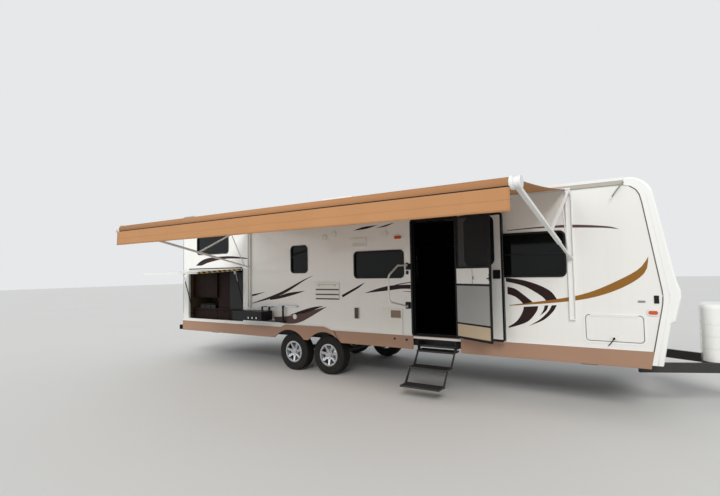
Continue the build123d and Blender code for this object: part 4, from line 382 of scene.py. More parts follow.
# Cast vinyl film: flat colour with a soft gloss, following the wall's ripple
VINYL_BROWN = Finish("vinyl_film_brown", "2A1A1C", "342224", 0.45, specular=0.12, patch_mm=700,
                     grain=Grain.PEEL, grain_mm=70, depth_mm=0.2)
VINYL_BRONZE = Finish("vinyl_film_bronze", "8A5F28", "956A30", 0.45, specular=0.12, patch_mm=500,
                      grain=Grain.PEEL, grain_mm=70, depth_mm=0.2)
VINYL_UMBER = Finish("vinyl_film_umber", "574341", "614D49", 0.45, specular=0.12, patch_mm=500,
                     grain=Grain.PEEL, grain_mm=70, depth_mm=0.2)
# Smoked acrylic of the screen door's sliding panel: grey and glossy
SMOKED = Finish("smoked_acrylic", "9C9E9C", "8B8D8B", 0.15, patch_mm=400)
# Moulded tan panel at the screen door's foot: satin, with a shallow ripple
KICK_PANEL = Finish("kick_panel_tan", "C2AF93", "B5A184", 0.5, patch_mm=200, grain=Grain.PEEL, grain_mm=12,
                    depth_mm=0.1)
# Reflecting tape, printed in yellow blocks on a dark base: small bright cells under the film
TAPE_YELLOW = Finish("reflecting_tape_yellow", "D9B340", "CBA435", 0.35, patch_mm=30, grain=Grain.CAST,
                     grain_mm=5, depth_mm=0.1)
TAPE_BASE = Finish("reflecting_tape_base", "1B1916", "24211D", 0.45, patch_mm=60, grain=Grain.CAST,
                   grain_mm=5, depth_mm=0.1)
# Brown ABS louvres, sun-bleached in patches
BROWN_ABS = Finish("abs_brown_moulded", "4A3A2E", "38291F", 0.5, patch_mm=60, grain=Grain.CAST, grain_mm=4,
                   depth_mm=0.1)
# Tan enamelled grille of the heater's flue: satin, darkened in patches by the heat
FLUE_TAN = Finish("enamelled_grille_tan", "8A7660", "75634F", 0.5, patch_mm=40, grain=Grain.CAST, grain_mm=5,
                  depth_mm=0.1)
# Grey ABS of small markers and gaskets: etched, so nearly matt
GREY_ABS = Finish("abs_grey_moulded", "8B8A86", "777570", 0.45, patch_mm=40, grain=Grain.CAST, grain_mm=4,
                  depth_mm=0.1)
# Lap sealant, run on by hand: grey and lumpy
SEALANT = Finish("grey_sealant", "8F8D88", "7C7A75", 0.6, patch_mm=60, grain=Grain.PEEL, grain_mm=8,
                 depth_mm=0.3)
# Brownish sealing bead pressed along the cap's joint
BEAD = Finish("pressed_sealing_bead", "6E625C", "5C514B", 0.6, patch_mm=80, grain=Grain.PEEL, grain_mm=10,
              depth_mm=0.2)
# Painted studio floor: pale and matt
FLOOR_PAINT = Finish("studio_floor", "D8D7D3", "CFCECA", 0.8, patch_mm=3000)


def add_block(bm: bmesh.types.BMesh, low: Place, high: Place) -> None:
    """Add a closed box between two corners.

    Args:
        bm: The mesh that takes it.
        low: The corner with the lowest values.
        high: The corner with the highest values.
    """
    size = Vector(high) - Vector(low)
    middle = (Vector(high) + Vector(low)) / 2
    bmesh.ops.create_cube(bm, size=1.0, matrix=Matrix.Translation(middle) @ Matrix.Diagonal((*size, 1.0)))


def add_wall_block(bm: bmesh.types.BMesh, span: Span, y0: float, y1: float) -> None:
    """Add a closed box on a wall.

    Args:
        bm: The mesh that takes it.
        span: Its front and rear stations, and its lower and upper heights.
        y0: Y of one face.
        y1: Y of the other face.
    """
    front, rear, low, top = span
    add_block(bm, (at(rear), min(y0, y1), up(low)), (at(front), max(y0, y1), up(top)))


def add_disc(bm: bmesh.types.BMesh, centre: Place, radius: float, depth: float, axis: Vector,
             sides: int = 24) -> None:
    """Add a closed round disc.

    Args:
        bm: The mesh that takes it.
        centre: Middle of the disc.
        radius: Its radius.
        depth: Its thickness along the axis.
        axis: Direction of its axis.
        sides: Number of sides.
    """
    turn = axis.normalized().to_track_quat("Z", "Y").to_matrix().to_4x4()
    bmesh.ops.create_cone(bm, cap_ends=True, segments=sides, radius1=radius, radius2=radius, depth=depth,
                          matrix=Matrix.Translation(centre) @ turn)


def add_skin(bm: bmesh.types.BMesh, loops: list[list[bmesh.types.BMVert]],
             closed_round: bool = False) -> None:
    """Join loops of like count by faces, as one closed skin.

    Args:
        bm: The mesh that takes it.
        loops: The loops, one after the other.
        closed_round: Whether the last loop joins the first; otherwise a face closes each of the two.
    """
    count = len(loops[0])
    pairs = zip(loops, loops[1:] + loops[:1]) if closed_round else zip(loops[:-1], loops[1:])
    for a, b in pairs:
        for k in range(count):
            bm.faces.new((a[k], a[(k + 1) % count], b[(k + 1) % count], b[k]))
    if not closed_round:
        bm.faces.new(loops[0][::-1])
        bm.faces.new(loops[-1])


def add_tube(bm: bmesh.types.BMesh, path: Sequence[Vector], radius: float, sides: int = 8) -> None:
    """Add a closed tube along a path of straight runs.

    Args:
        bm: The mesh that takes it.
        path: The points of the centre line.
        radius: The tube's radius.
        sides: Number of sides.
    """
    rings = []
    for i, spot in enumerate(path):
        ahead = path[min(i + 1, len(path) - 1)] - path[max(i - 1, 0)]
        turn = ahead.to_track_quat("Z", "Y").to_matrix()
        rings.append([bm.verts.new(spot + turn @ Vector((radius * math.cos(a), radius * math.sin(a), 0)))
                      for a in (2 * math.pi * k / sides for k in range(sides))])
    add_skin(bm, rings)


def rounded(span: Span, corner: float, grow: float = 0.0) -> list[Point]:
    """Rounded outline on a wall, as (station, height).

    Args:
        span: Its front and rear stations, and its lower and upper heights.
        corner: Radius of its corners.
        grow: How far the outline is moved outwards.

    Returns:
        The places round the outline.
    """
    front, rear, low, top = span
    r = corner
    centres = ((rear - r, top - r), (front + r, top - r), (front + r, low + r), (rear - r, low + r))
    spots = []
    for quarter, (cs, ch) in enumerate(centres):
        for k in range(CORNER_STEPS + 1):
            a = math.radians(90 * (quarter + k / CORNER_STEPS))
            spots.append((cs + (r + grow) * math.cos(a), ch + (r + grow) * math.sin(a)))
    return spots


def add_ring(bm: bmesh.types.BMesh, inner: Sequence[Point], outer: Sequence[Point], y0: float,
             y1: float) -> None:
    """Add a closed flat ring between two wall outlines of like count.

    Args:
        bm: The mesh that takes it.
        inner: The inner outline, as (station, height).
        outer: The outer outline.
        y0: Y of its back.
        y1: Y of its face.
    """
    edges = ((outer, y0), (outer, y1), (inner, y1), (inner, y0))
    loops = [[bm.verts.new(mark(s, y, h)) for s, h in line] for line, y in edges]
    add_skin(bm, loops, closed_round=True)


def add_plate(bm: bmesh.types.BMesh, outline: Sequence[Point], y0: float, y1: float,
              inset: float = 0.0) -> None:
    """Add a closed plate of a wall outline, its outer edge eased by a small slope.

    Args:
        bm: The mesh that takes it.
        outline: The outline, as (station, height).
        y0: Y of its back.
        y1: Y of its face.
        inset: How far its face's edge is drawn in.
    """
    mid_s = sum(s for s, _ in outline) / len(outline)
    mid_h = sum(h for _, h in outline) / len(outline)
    reach = max(math.dist(p, (mid_s, mid_h)) for p in outline)
    share = 1 - inset / reach
    face = [(mid_s + (s - mid_s) * share, mid_h + (h - mid_h) * share) for s, h in outline]
    edges = ((outline, y0), (outline, y1 + (y0 - y1) * EASED), (face, y1))
    add_skin(bm, [[bm.verts.new(mark(s, y, h)) for s, h in line] for line, y in edges])


def finished(name: str, bm: bmesh.types.BMesh, finish: Finish, body: str = "root",
             smooth: bool = False) -> bpy.types.Object:
    """Turn a mesh into a piece of the caravan.

    Args:
        name: The piece's name.
        bm: Its mesh, which is used up.
        finish: Its finish.
        body: The body that it rides on.
        smooth: Whether its faces are shaded smooth.

    Returns:
        The piece.
    """
    bmesh.ops.remove_doubles(bm, verts=bm.verts, dist=TOUCHING)
    bmesh.ops.recalc_face_normals(bm, faces=bm.faces)
    mesh = bpy.data.meshes.new(name)
    bm.to_mesh(mesh)
    bm.free()
    mesh.materials.append(finish.material())
    for face in mesh.polygons:
        face.use_smooth = smooth
    piece = bpy.data.objects.new(name, mesh)
    bpy.context.scene.collection.objects.link(piece)
    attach(piece, body)
    log.info("%s: %d faces", name, len(mesh.polygons))
    return piece


def new_tree(name: str, sizes: Sequence[str], counts: Sequence[str] = ()) -> bpy.types.NodeTree:
    """Start a geometry node tree with named inputs.

    Args:
        name: The tree's name.
        sizes: Names of its inputs for lengths and angles.
        counts: Names of its inputs for whole numbers.

    Returns:
        The tree, with its sockets and no nodes.
    """
    tree = bpy.data.node_groups.new(name, "GeometryNodeTree")
    tree.interface.new_socket("Geometry", in_out="INPUT", socket_type="NodeSocketGeometry")
    for label in sizes:
        tree.interface.new_socket(label, in_out="INPUT", socket_type="NodeSocketFloat")
    for label in counts:
        tree.interface.new_socket(label, in_out="INPUT", socket_type="NodeSocketInt")
    tree.interface.new_socket("Geometry", in_out="OUTPUT", socket_type="NodeSocketGeometry")
    return tree


def end_tree(tree: bpy.types.NodeTree, copies: bpy.types.NodeSocket, finish: Finish) -> None:
    """End a tree in real geometry with its material.

    Args:
        tree: The tree.
        copies: The instances that it made.
        finish: Their finish.
    """
    real = add_node(tree, "GeometryNodeRealizeInstances", {0: copies}).outputs[0]
    dressed = add_node(tree, "GeometryNodeSetMaterial", {"Geometry": real, "Material": finish.material()})
    add_node(tree, "NodeGroupOutput", {"Geometry": dressed.outputs[0]})


def bake(guide: bpy.types.Mesh, tree: bpy.types.NodeTree, sizes: dict[str, float]) -> bpy.types.Mesh:
    """Run a geometry node tree on a guide and keep the result as a plain mesh.

    Args:
        guide: The guide, which is removed.
        tree: The tree to run.
        sizes: Values of the tree's named inputs.

    Returns:
        The mesh that the tree made.
    """
    source = bpy.data.objects.new(guide.name, guide)
    bpy.context.scene.collection.objects.link(source)
    modifier = source.modifiers.new("repeat", "NODES")
    modifier.node_group = tree
    names = {item.name: item.identifier for item in tree.interface.items_tree if item.in_out == "INPUT"}
    for label, value in sizes.items():
        modifier[names[label]] = value
    made = bpy.data.meshes.new_from_object(source.evaluated_get(bpy.context.evaluated_depsgraph_get()))
    source.modifiers.remove(modifier)
    bpy.data.objects.remove(source)
    bpy.data.meshes.remove(guide)
    return made


class Head(Enum):
    """Shape that a row repeats."""

    ROUND = "round"
    BAR = "bar"


@dataclass
class Row:
    """Like small pieces repeated along a path by Geometry Nodes."""

    name: str
    spacing: float
    # The radius of a round head, or the width of a bar
    width: float
    depth: float
    head: Head = Head.ROUND
    length: float = 0.0
    turn: Place = (math.pi / 2, 0.0, 0.0)
    sides: int = 8

    def tree(self, finish: Finish) -> bpy.types.NodeTree:
        """Build the row's tree, which ends in real geometry with its material.

        Args:
            finish: The finish of the repeated piece.

        Returns:
            The geometry node tree.
        """
        tree = new_tree(self.name, ("Spacing", "Width", "Depth", "Length"))
        given = add_node(tree, "NodeGroupInput").outputs
        line = add_node(tree, "GeometryNodeMeshToCurve", {"Mesh": given["Geometry"]}).outputs[0]
        steps = {"Curve": line, "Length": given["Spacing"]}
        dots = add_node(tree, "GeometryNodeResampleCurve", steps, mode="LENGTH").outputs[0]
        if self.head is Head.ROUND:
            size = {"Vertices": self.sides, "Radius": given["Width"], "Depth": given["Depth"]}
            one = add_node(tree, "GeometryNodeMeshCylinder", size).outputs[0]
        else:
            size = {0: given["Length"], 1: given["Width"], 2: given["Depth"]}
            sides = add_node(tree, "ShaderNodeCombineXYZ", size).outputs[0]
            one = add_node(tree, "GeometryNodeMeshCube", {"Size": sides}).outputs[0]
        placing = {"Points": dots, "Instance": one, "Rotation": self.turn}
        end_tree(tree, add_node(tree, "GeometryNodeInstanceOnPoints", placing).outputs[0], finish)
        return tree

    def lay(self, paths: Sequence[Sequence[Place]], finish: Finish, slot: str) -> bpy.types.Object:
        """Lay the row along each path, as one piece.

        Args:
            paths: Runs of points that the row follows.
            finish: The finish of the repeated piece.
            slot: Not used.

        Returns:
            The finished piece.
        """
        guide = bmesh.new()
        for path in paths:
            dots = [guide.verts.new(p) for p in path]
            for a, b in zip(dots[:-1], dots[1:]):
                guide.edges.new((a, b))
        mesh = bpy.data.meshes.new(self.name + "_guide")
        guide.to_mesh(mesh)
        guide.free()
        sizes = {"Spacing": self.spacing, "Width": self.width, "Depth": self.depth, "Length": self.length}
        made = bake(mesh, self.tree(finish), sizes)
        solid = bmesh.new()
        solid.from_mesh(made)
        bpy.data.meshes.remove(made)
        return finished(self.name, solid, finish)


def flow(points: Sequence[Point], steps: int) -> list[Point]:
    """A smooth line through points, with even steps between neighbours.

    Args:
        points: The places that the line goes through.
        steps: How many steps lie between two neighbours.

    Returns:
        The places along the line.
    """
    ends = [points[0], *points, points[-1]]
    line = []
    for i in range(1, len(ends) - 2):
        p0, p1, p2, p3 = (Vector(p) for p in ends[i - 1:i + 3])
        for k in range(steps):
            t = k / steps
            spot = 0.5 * (2 * p1 + (p2 - p0) * t + (2 * p0 - 5 * p1 + 4 * p2 - p3) * t * t
                          + (3 * p1 - p0 - 3 * p2 + p3) * t ** 3)
            line.append((spot.x, spot.y))
    return line + [tuple(points[-1])]


def even(line: Sequence[Point], count: int) -> list[Point]:
    """Places at even distances along a line of short runs.

    Args:
        line: The places that the line goes through.
        count: How many places are wanted.

    Returns:
        The places, with both ends among them.
    """
    tiny = 1e-9
    spots = [Vector(p) for p in line]
    lengths = [0.0]
    for a, b in zip(spots[:-1], spots[1:]):
        lengths.append(lengths[-1] + (b - a).length)
    out = []
    for k in range(count):
        want = lengths[-1] * k / (count - 1)
        i = max(j for j in range(len(lengths)) if lengths[j] <= want + tiny)
        i = min(i, len(spots) - 2)
        share = (want - lengths[i]) / max(lengths[i + 1] - lengths[i], tiny)
        out.append(tuple(spots[i].lerp(spots[i + 1], min(share, 1.0))))
    return out


@dataclass
class Stripes:
    """Vinyl stripes on the walls: each one's upper and lower edge, as (station, height) in metres."""

    film: float = 0.8 * MM
    samples: int = 28
    steps: int = 8
    # Between these stations only the curb wall has stripes
    plain_off_wall: Pair = (2.2, 5.4)
    edges: list[tuple[str, Finish, list[Point], list[Point]]] = field(default_factory=lambda: [
        ("stripe_nose_bronze", VINYL_BRONZE,
         [(2.08, 1.375), (1.38, 1.48), (1.01, 1.57), (0.66, 1.73), (0.43, 1.87), (0.325, 2.02)],
         [(2.08, 1.365), (1.38, 1.43), (0.94, 1.51), (0.59, 1.65), (0.37, 1.82), (0.325, 2.02)]),
        ("stripe_nose_umber", VINYL_UMBER,
         [(2.08, 2.46), (1.62, 2.48), (1.20, 2.48), (0.77, 2.43), (0.63, 2.38)],
         [(2.08, 2.45), (1.62, 2.46), (1.20, 2.44), (0.80, 2.41), (0.63, 2.38)]),
        ("crescent_outer_top", VINYL_BROWN,
         [(2.12, 1.77), (1.88, 1.735), (1.66, 1.665), (1.50, 1.575), (1.425, 1.47)],
         [(2.12, 1.715), (1.88, 1.655), (1.71, 1.565), (1.61, 1.495), (1.57, 1.448)]),
        ("crescent_outer_low", VINYL_BROWN,
         [(1.43, 1.39), (1.48, 1.30), (1.61, 1.18), (1.82, 1.085)],
         [(1.495, 1.385), (1.545, 1.30), (1.66, 1.185), (1.82, 1.085)]),
        ("crescent_inner_top", VINYL_BROWN,
         [(2.10, 1.64), (1.99, 1.61), (1.89, 1.54), (1.75, 1.425)],
         [(2.10, 1.535), (2.00, 1.50), (1.93, 1.45), (1.88, 1.395)]),
        ("crescent_inner_low", VINYL_BROWN,
         [(1.675, 1.37), (1.71, 1.28), (1.84, 1.14), (2.10, 1.045)],
         [(1.875, 1.355), (1.90, 1.27), (1.98, 1.15), (2.10, 1.065)]),
        ("crescent_sliver", VINYL_BROWN,
         [(1.54, 1.385), (1.57, 1.31), (1.66, 1.235)],
         [(1.59, 1.38), (1.61, 1.31), (1.66, 1.235)]),
        ("stripe_door_main", VINYL_BROWN,
         [(4.61, 1.52), (4.26, 1.62), (4.00, 1.66), (3.69, 1.67)],
         [(4.61, 1.52), (4.13, 1.57), (3.87, 1.60), (3.69, 1.60)]),
        ("stripe_door_branch", VINYL_BROWN,
         [(4.06, 1.645), (3.90, 1.685), (3.69, 1.715)],
         [(4.06, 1.635), (3.90, 1.67), (3.69, 1.70)]),
        ("stripe_door_line", VINYL_BRONZE,
         [(3.84, 1.562), (3.69, 1.562)],
         [(3.84, 1.555), (3.69, 1.548)]),
        ("stripe_middle", VINYL_BROWN,
         [(5.10, 1.48), (4.77, 1.63), (4.59, 1.71)],
         [(5.08, 1.44), (4.73, 1.61), (4.59, 1.71)]),
        ("stripe_rear_long", VINYL_BROWN,
         [(7.41, 1.292), (6.66, 1.505), (6.00, 1.765), (5.75, 1.845)],
         [(7.41, 1.28), (6.61, 1.46), (6.00, 1.74), (5.75, 1.845)]),
        ("stripe_rear_branch", VINYL_BROWN,
         [(6.90, 1.40), (6.66, 1.445), (6.39, 1.51), (5.96, 1.555)],
         [(6.90, 1.36), (6.60, 1.40), (6.21, 1.485), (5.96, 1.555)]),
        ("stripe_rear_short", VINYL_BROWN,
         [(7.42, 1.47), (7.33, 1.48), (7.03, 1.525)],
         [(7.42, 1.43), (7.30, 1.45), (7.03, 1.525)]),
        ("stripe_low_dark", VINYL_BROWN,
         [(6.40, 1.07), (6.05, 1.18), (5.76, 1.25), (5.52, 1.275)],
         [(6.40, 1.07), (6.10, 1.11), (5.84, 1.17), (5.52, 1.275)]),
        ("stripe_low_umber", VINYL_UMBER,
         [(6.80, 1.03), (6.40, 1.06), (5.97, 1.15), (5.44, 1.265)],
         [(6.76, 0.94), (6.40, 0.91), (6.05, 0.97), (5.44, 1.265)]),
        ("stripe_high_front", VINYL_BROWN,
         [(4.82, 2.63), (4.61, 2.68), (4.30, 2.695)],
         [(4.82, 2.63), (4.54, 2.645), (4.30, 2.695)]),
        ("stripe_high_rear", VINYL_BROWN,
         [(4.35, 2.64), (4.17, 2.68), (3.97, 2.715)],
         [(4.35, 2.64), (4.14, 2.66), (3.97, 2.715)]),
        ("stripe_bunk_arc", VINYL_BROWN,
         [(9.27, 2.105), (9.10, 2.20), (8.85, 2.265), (8.38, 2.287), (8.01, 2.28), (7.53, 2.225)],
         [(9.27, 2.105), (9.05, 2.105), (8.85, 2.158), (8.38, 2.224), (8.01, 2.232), (7.53, 2.21)]),
    ])

    def build(self) -> None:
        """Lay every stripe on the curb wall, and the mirror image of most on the off wall."""
        for name, finish, upper, lower in self.edges:
            self.lay(name, finish, upper, lower, CURB_Y, -1.0)
        front, rear = self.plain_off_wall
        for name, finish, upper, lower in self.edges:
            if max(p[0] for p in upper) < front or min(p[0] for p in upper) > rear:
                self.lay("off_" + name, finish, upper, lower, OFF_Y, 1.0)

    def lay(self, name: str, finish: Finish, upper: Sequence[Point], lower: Sequence[Point], wall: float,
            out: float) -> None:
        """Lay one stripe as a closed film.

        Args:
            name: The stripe's name.
            finish: Its vinyl.
            upper: Its upper edge.
            lower: Its lower edge.
            wall: Y of the wall's face.
            out: Sign of the wall's outward direction.
        """
        back, face = wall - out * self.film / 2, wall + out * self.film
        top = even(flow(upper, self.steps), self.samples)
        low = even(flow(lower, self.steps), self.samples)
        bm = bmesh.new()
        loops = []
        for high_end, low_end in zip(top, low):
            corners = ((high_end, back), (high_end, face), (low_end, face), (low_end, back))
            loops.append([bm.verts.new(mark(s, y, h)) for (s, h), y in corners])
        add_skin(bm, loops)
        finished(name, bm, finish)


@dataclass
class AwningCloth:
    """The awning's cloth from its rail to the roller, the turns on the roller and the hanging valance."""

    thickness: float = 1.2 * MM
    # How far inside the awning solid's box the cloth's top edge lies, out from the rail and down
    top_inset: Pair = (1 * MM, 4 * MM)
    nose_cut: float = 63 * MM
    sag: float = 30 * MM
    sheet_steps: int = 32
    across: int = 120
    # Waves, as height, radians to the metre and phase: across the sheet, and along the valance's free edge
    sheet_wave: Triple = (2 * MM, 9.0, 0.0)
    valance_waves: tuple[Triple, ...] = ((6 * MM, 7.3, 0.0), (3 * MM, 17.1, 1.2))
    # The bare tube's radius, and how far its axis lies inside the roller's outermost point
    radius: float = 52 * MM
    axis_in: float = 60 * MM
    # Clearances over the tube: of the sheet where it arrives, and of the first turn, which also ends inside
    lift: float = 1.6 * MM
    turn_lift: float = 0.3 * MM
    turn_inset: float = 2 * MM
    # The valance: where it starts below the axis, its height, and its place as a share of the radius
    start: float = 36 * MM
    drop: float = 0.215
    valance_out: float = 0.80
    valance_steps: int = 14
    band_out: float = 1.3 * MM
    # The bead that carries the valance: outwards and inwards of it, and below and above its top edge
    bead: Pair = (3 * MM, 5 * MM)
    bead_heights: Pair = (2 * MM, 8 * MM)
    # The stitches: their rows as shares of the valance's height, how far out, and their guide's steps
    stitch_rows: Pair = (0.53, 0.93)
    stitch_out: float = 2.4 * MM
    stitch_guide: int = 200
    # Round castings at each end: distance from the roller's end, radius and thickness
    castings: tuple[Triple, ...] = ((77 * MM, 64 * MM, 24 * MM), (93 * MM, 56.5 * MM, 12 * MM))
    sides: int = 40

    def __post_init__(self) -> None:
        """Take the cloth's ends from the frame."""
        low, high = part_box("awning_fabric")
        tube_low, tube_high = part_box("awning_roller")
        self.x0, self.x1 = low.x, high.x - self.nose_cut
        self.tube_ends = (tube_low.x, tube_high.x)
        self.roller_y = tube_low.y + self.axis_in
        self.roller_z = (tube_low.z + tube_high.z) / 2
        self.top = (high.y - self.top_inset[0], high.z - self.top_inset[1])
        self.front = self.roller_y - self.radius * self.valance_out

    def build(self) -> None:
        line = self.sheet_line()
        sheet = self.cloth("awning_sheet", line, self.ripple)
        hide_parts("awning_fabric")
        count = self.valance_steps
        hang = [(self.front, self.roller_z - self.start - self.drop * k / count) for k in range(count + 1)]
        valance = self.cloth("awning_valance", hang, self.flutter)
        doubled = [(self.front - self.band_out, z) for _, z in hang[count // 2:]]
        band = self.cloth("valance_band", doubled, lambda x, t: self.flutter(x, 0.5 + 0.5 * t))
        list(self.hem())
        self.turns()
        self.end_castings()

    def sheet_line(self) -> list[Point]:
        """Follow the cloth from the rail to the top of the roller.

        Returns:
            Y and Z along it.
        """
        end = (self.roller_y, self.roller_z + self.radius + self.lift)
        line = []
        for k in range(self.sheet_steps + 1):
            t = k / self.sheet_steps
            y = self.top[0] + (end[0] - self.top[0]) * t
            z = self.top[1] + (end[1] - self.top[1]) * t - self.sag * 4 * t * (1 - t)
            line.append((y, z))
        return line

    def ripple(self, x: float, t: float) -> float:
        """Slight waves across the sheet, which die out at its two held edges."""
        tall, pace, phase = self.sheet_wave
        return tall * math.sin(x * pace + phase) * math.sin(math.pi * t)

    def flutter(self, x: float, t: float) -> float:
        """Outward ripple of the valance, which grows towards its free edge."""
        return t * t * sum(tall * math.sin(x * pace + phase) for tall, pace, phase in self.valance_waves)

    def cloth(self, name: str, line: Sequence[Point],
              wave: Callable[[float, float], float]) -> bpy.types.Object:
        """Sweep a thin closed sheet along X.

        Args:
            name: The piece's name.
            line: Y and Z along the sheet's length.
            wave: Outward ripple at a place across the width and a share of the length.

        Returns:
            The cloth, with its UV map in metres.
        """
        bm = bmesh.new()
        uv = bm.loops.layers.uv.new("weave")
        rows: list[list[list[bmesh.types.BMVert]]] = [[], []]
        where: dict[bmesh.types.BMVert, Point] = {}
        run = [0.0]
        for a, b in zip(line[:-1], line[1:]):
            run.append(run[-1] + math.dist(a, b))
        for i, (y, z) in enumerate(line):
            ahead = Vector(line[min(i + 1, len(line) - 1)]) - Vector(line[max(i - 1, 0)])
            normal = Vector((-ahead.y, ahead.x)).normalized()
            for side in (0, 1):
                strip = []
                for k in range(self.across + 1):
                    x = self.x0 + (self.x1 - self.x0) * k / self.across
                    off = wave(x, run[i] / run[-1]) + (side - 0.5) * self.thickness
                    dot = bm.verts.new((x, y + normal.x * off, z + normal.y * off))
                    where[dot] = (x, run[i])
                    strip.append(dot)
                rows[side].append(strip)
        back, face = rows
        last = len(line) - 1
        for i in range(last):
            for layer in rows:
                for k in range(self.across):
                    a, b = layer[i], layer[i + 1]
                    bm.faces.new((a[k], a[k + 1], b[k + 1], b[k]))
            for k in (0, self.across):
                bm.faces.new((back[i][k], back[i + 1][k], face[i + 1][k], face[i][k]))
        for i in (0, last):
            for k in range(self.across):
                bm.faces.new((back[i][k], back[i][k + 1], face[i][k + 1], face[i][k]))
        for polygon in bm.faces:
            for loop in polygon.loops:
                loop[uv].uv = where[loop.vert]
        return finished(name, bm, CLOTH, smooth=True)

    def hem(self) -> list[bpy.types.Object]:
        """Make the bead that carries the valance, black as painted shade under the roller, and its two rows
        of stitches.

        Returns:
            The bead and the stitches.
        """
        bm = bmesh.new()
        top = self.roller_z - self.start
        out, inward = self.bead
        below, above = self.bead_heights
        add_block(bm, (self.x0, self.front - out, top - below), (self.x1, self.front + inward, top + above))
        # The bead is black as painted shade: it stands for the shadow line between the roller and the valance
        made = [finished("valance_bead_painted_shade", bm, BLACK_ABS)]
        rows = []
        count = self.stitch_guide
        spots = [self.x0 + (self.x1 - self.x0) * k / count for k in range(count + 1)]
        for share in self.stitch_rows:
            height = top - self.drop * share
            rows.append([(x, self.front + self.flutter(x, share) - self.stitch_out, height) for x in spots])
        stitch = Row("valance_stitches", spacing=30 * MM, width=2.4 * MM, depth=1.2 * MM, head=Head.BAR,
                     length=18 * MM)
        made.append(stitch.lay(rows, STITCH, "awning_fabric"))
        return made

    def turns(self) -> None:
        """Wind one turn of cloth on the tube, with the step where the cloth leaves it."""
        bm = bmesh.new()
        rings = []
        for x in (self.x0 + self.turn_inset, self.x1 - self.turn_inset):
            ring = []
            for k in range(self.sides):
                a = 2 * math.pi * k / self.sides
                r = self.radius + self.turn_lift + self.thickness * k / self.sides
                y, z = self.roller_y + r * math.cos(a), self.roller_z + r * math.sin(a)
                ring.append(bm.verts.new((x, y, z)))
            rings.append(ring)
        add_skin(bm, rings)
        finished("awning_turns", bm, ROLLED, smooth=True)

    def end_castings(self) -> None:
        """Close the roller beside each arm's head with white castings."""
        bm = bmesh.new()
        for end, inward in zip(self.tube_ends, (1.0, -1.0)):
            for away, radius, depth in self.castings:
                centre = (end + inward * away, self.roller_y, self.roller_z)
                add_disc(bm, centre, radius, depth, ALONG, self.sides)
        finished("roller_castings", bm, POWDER)


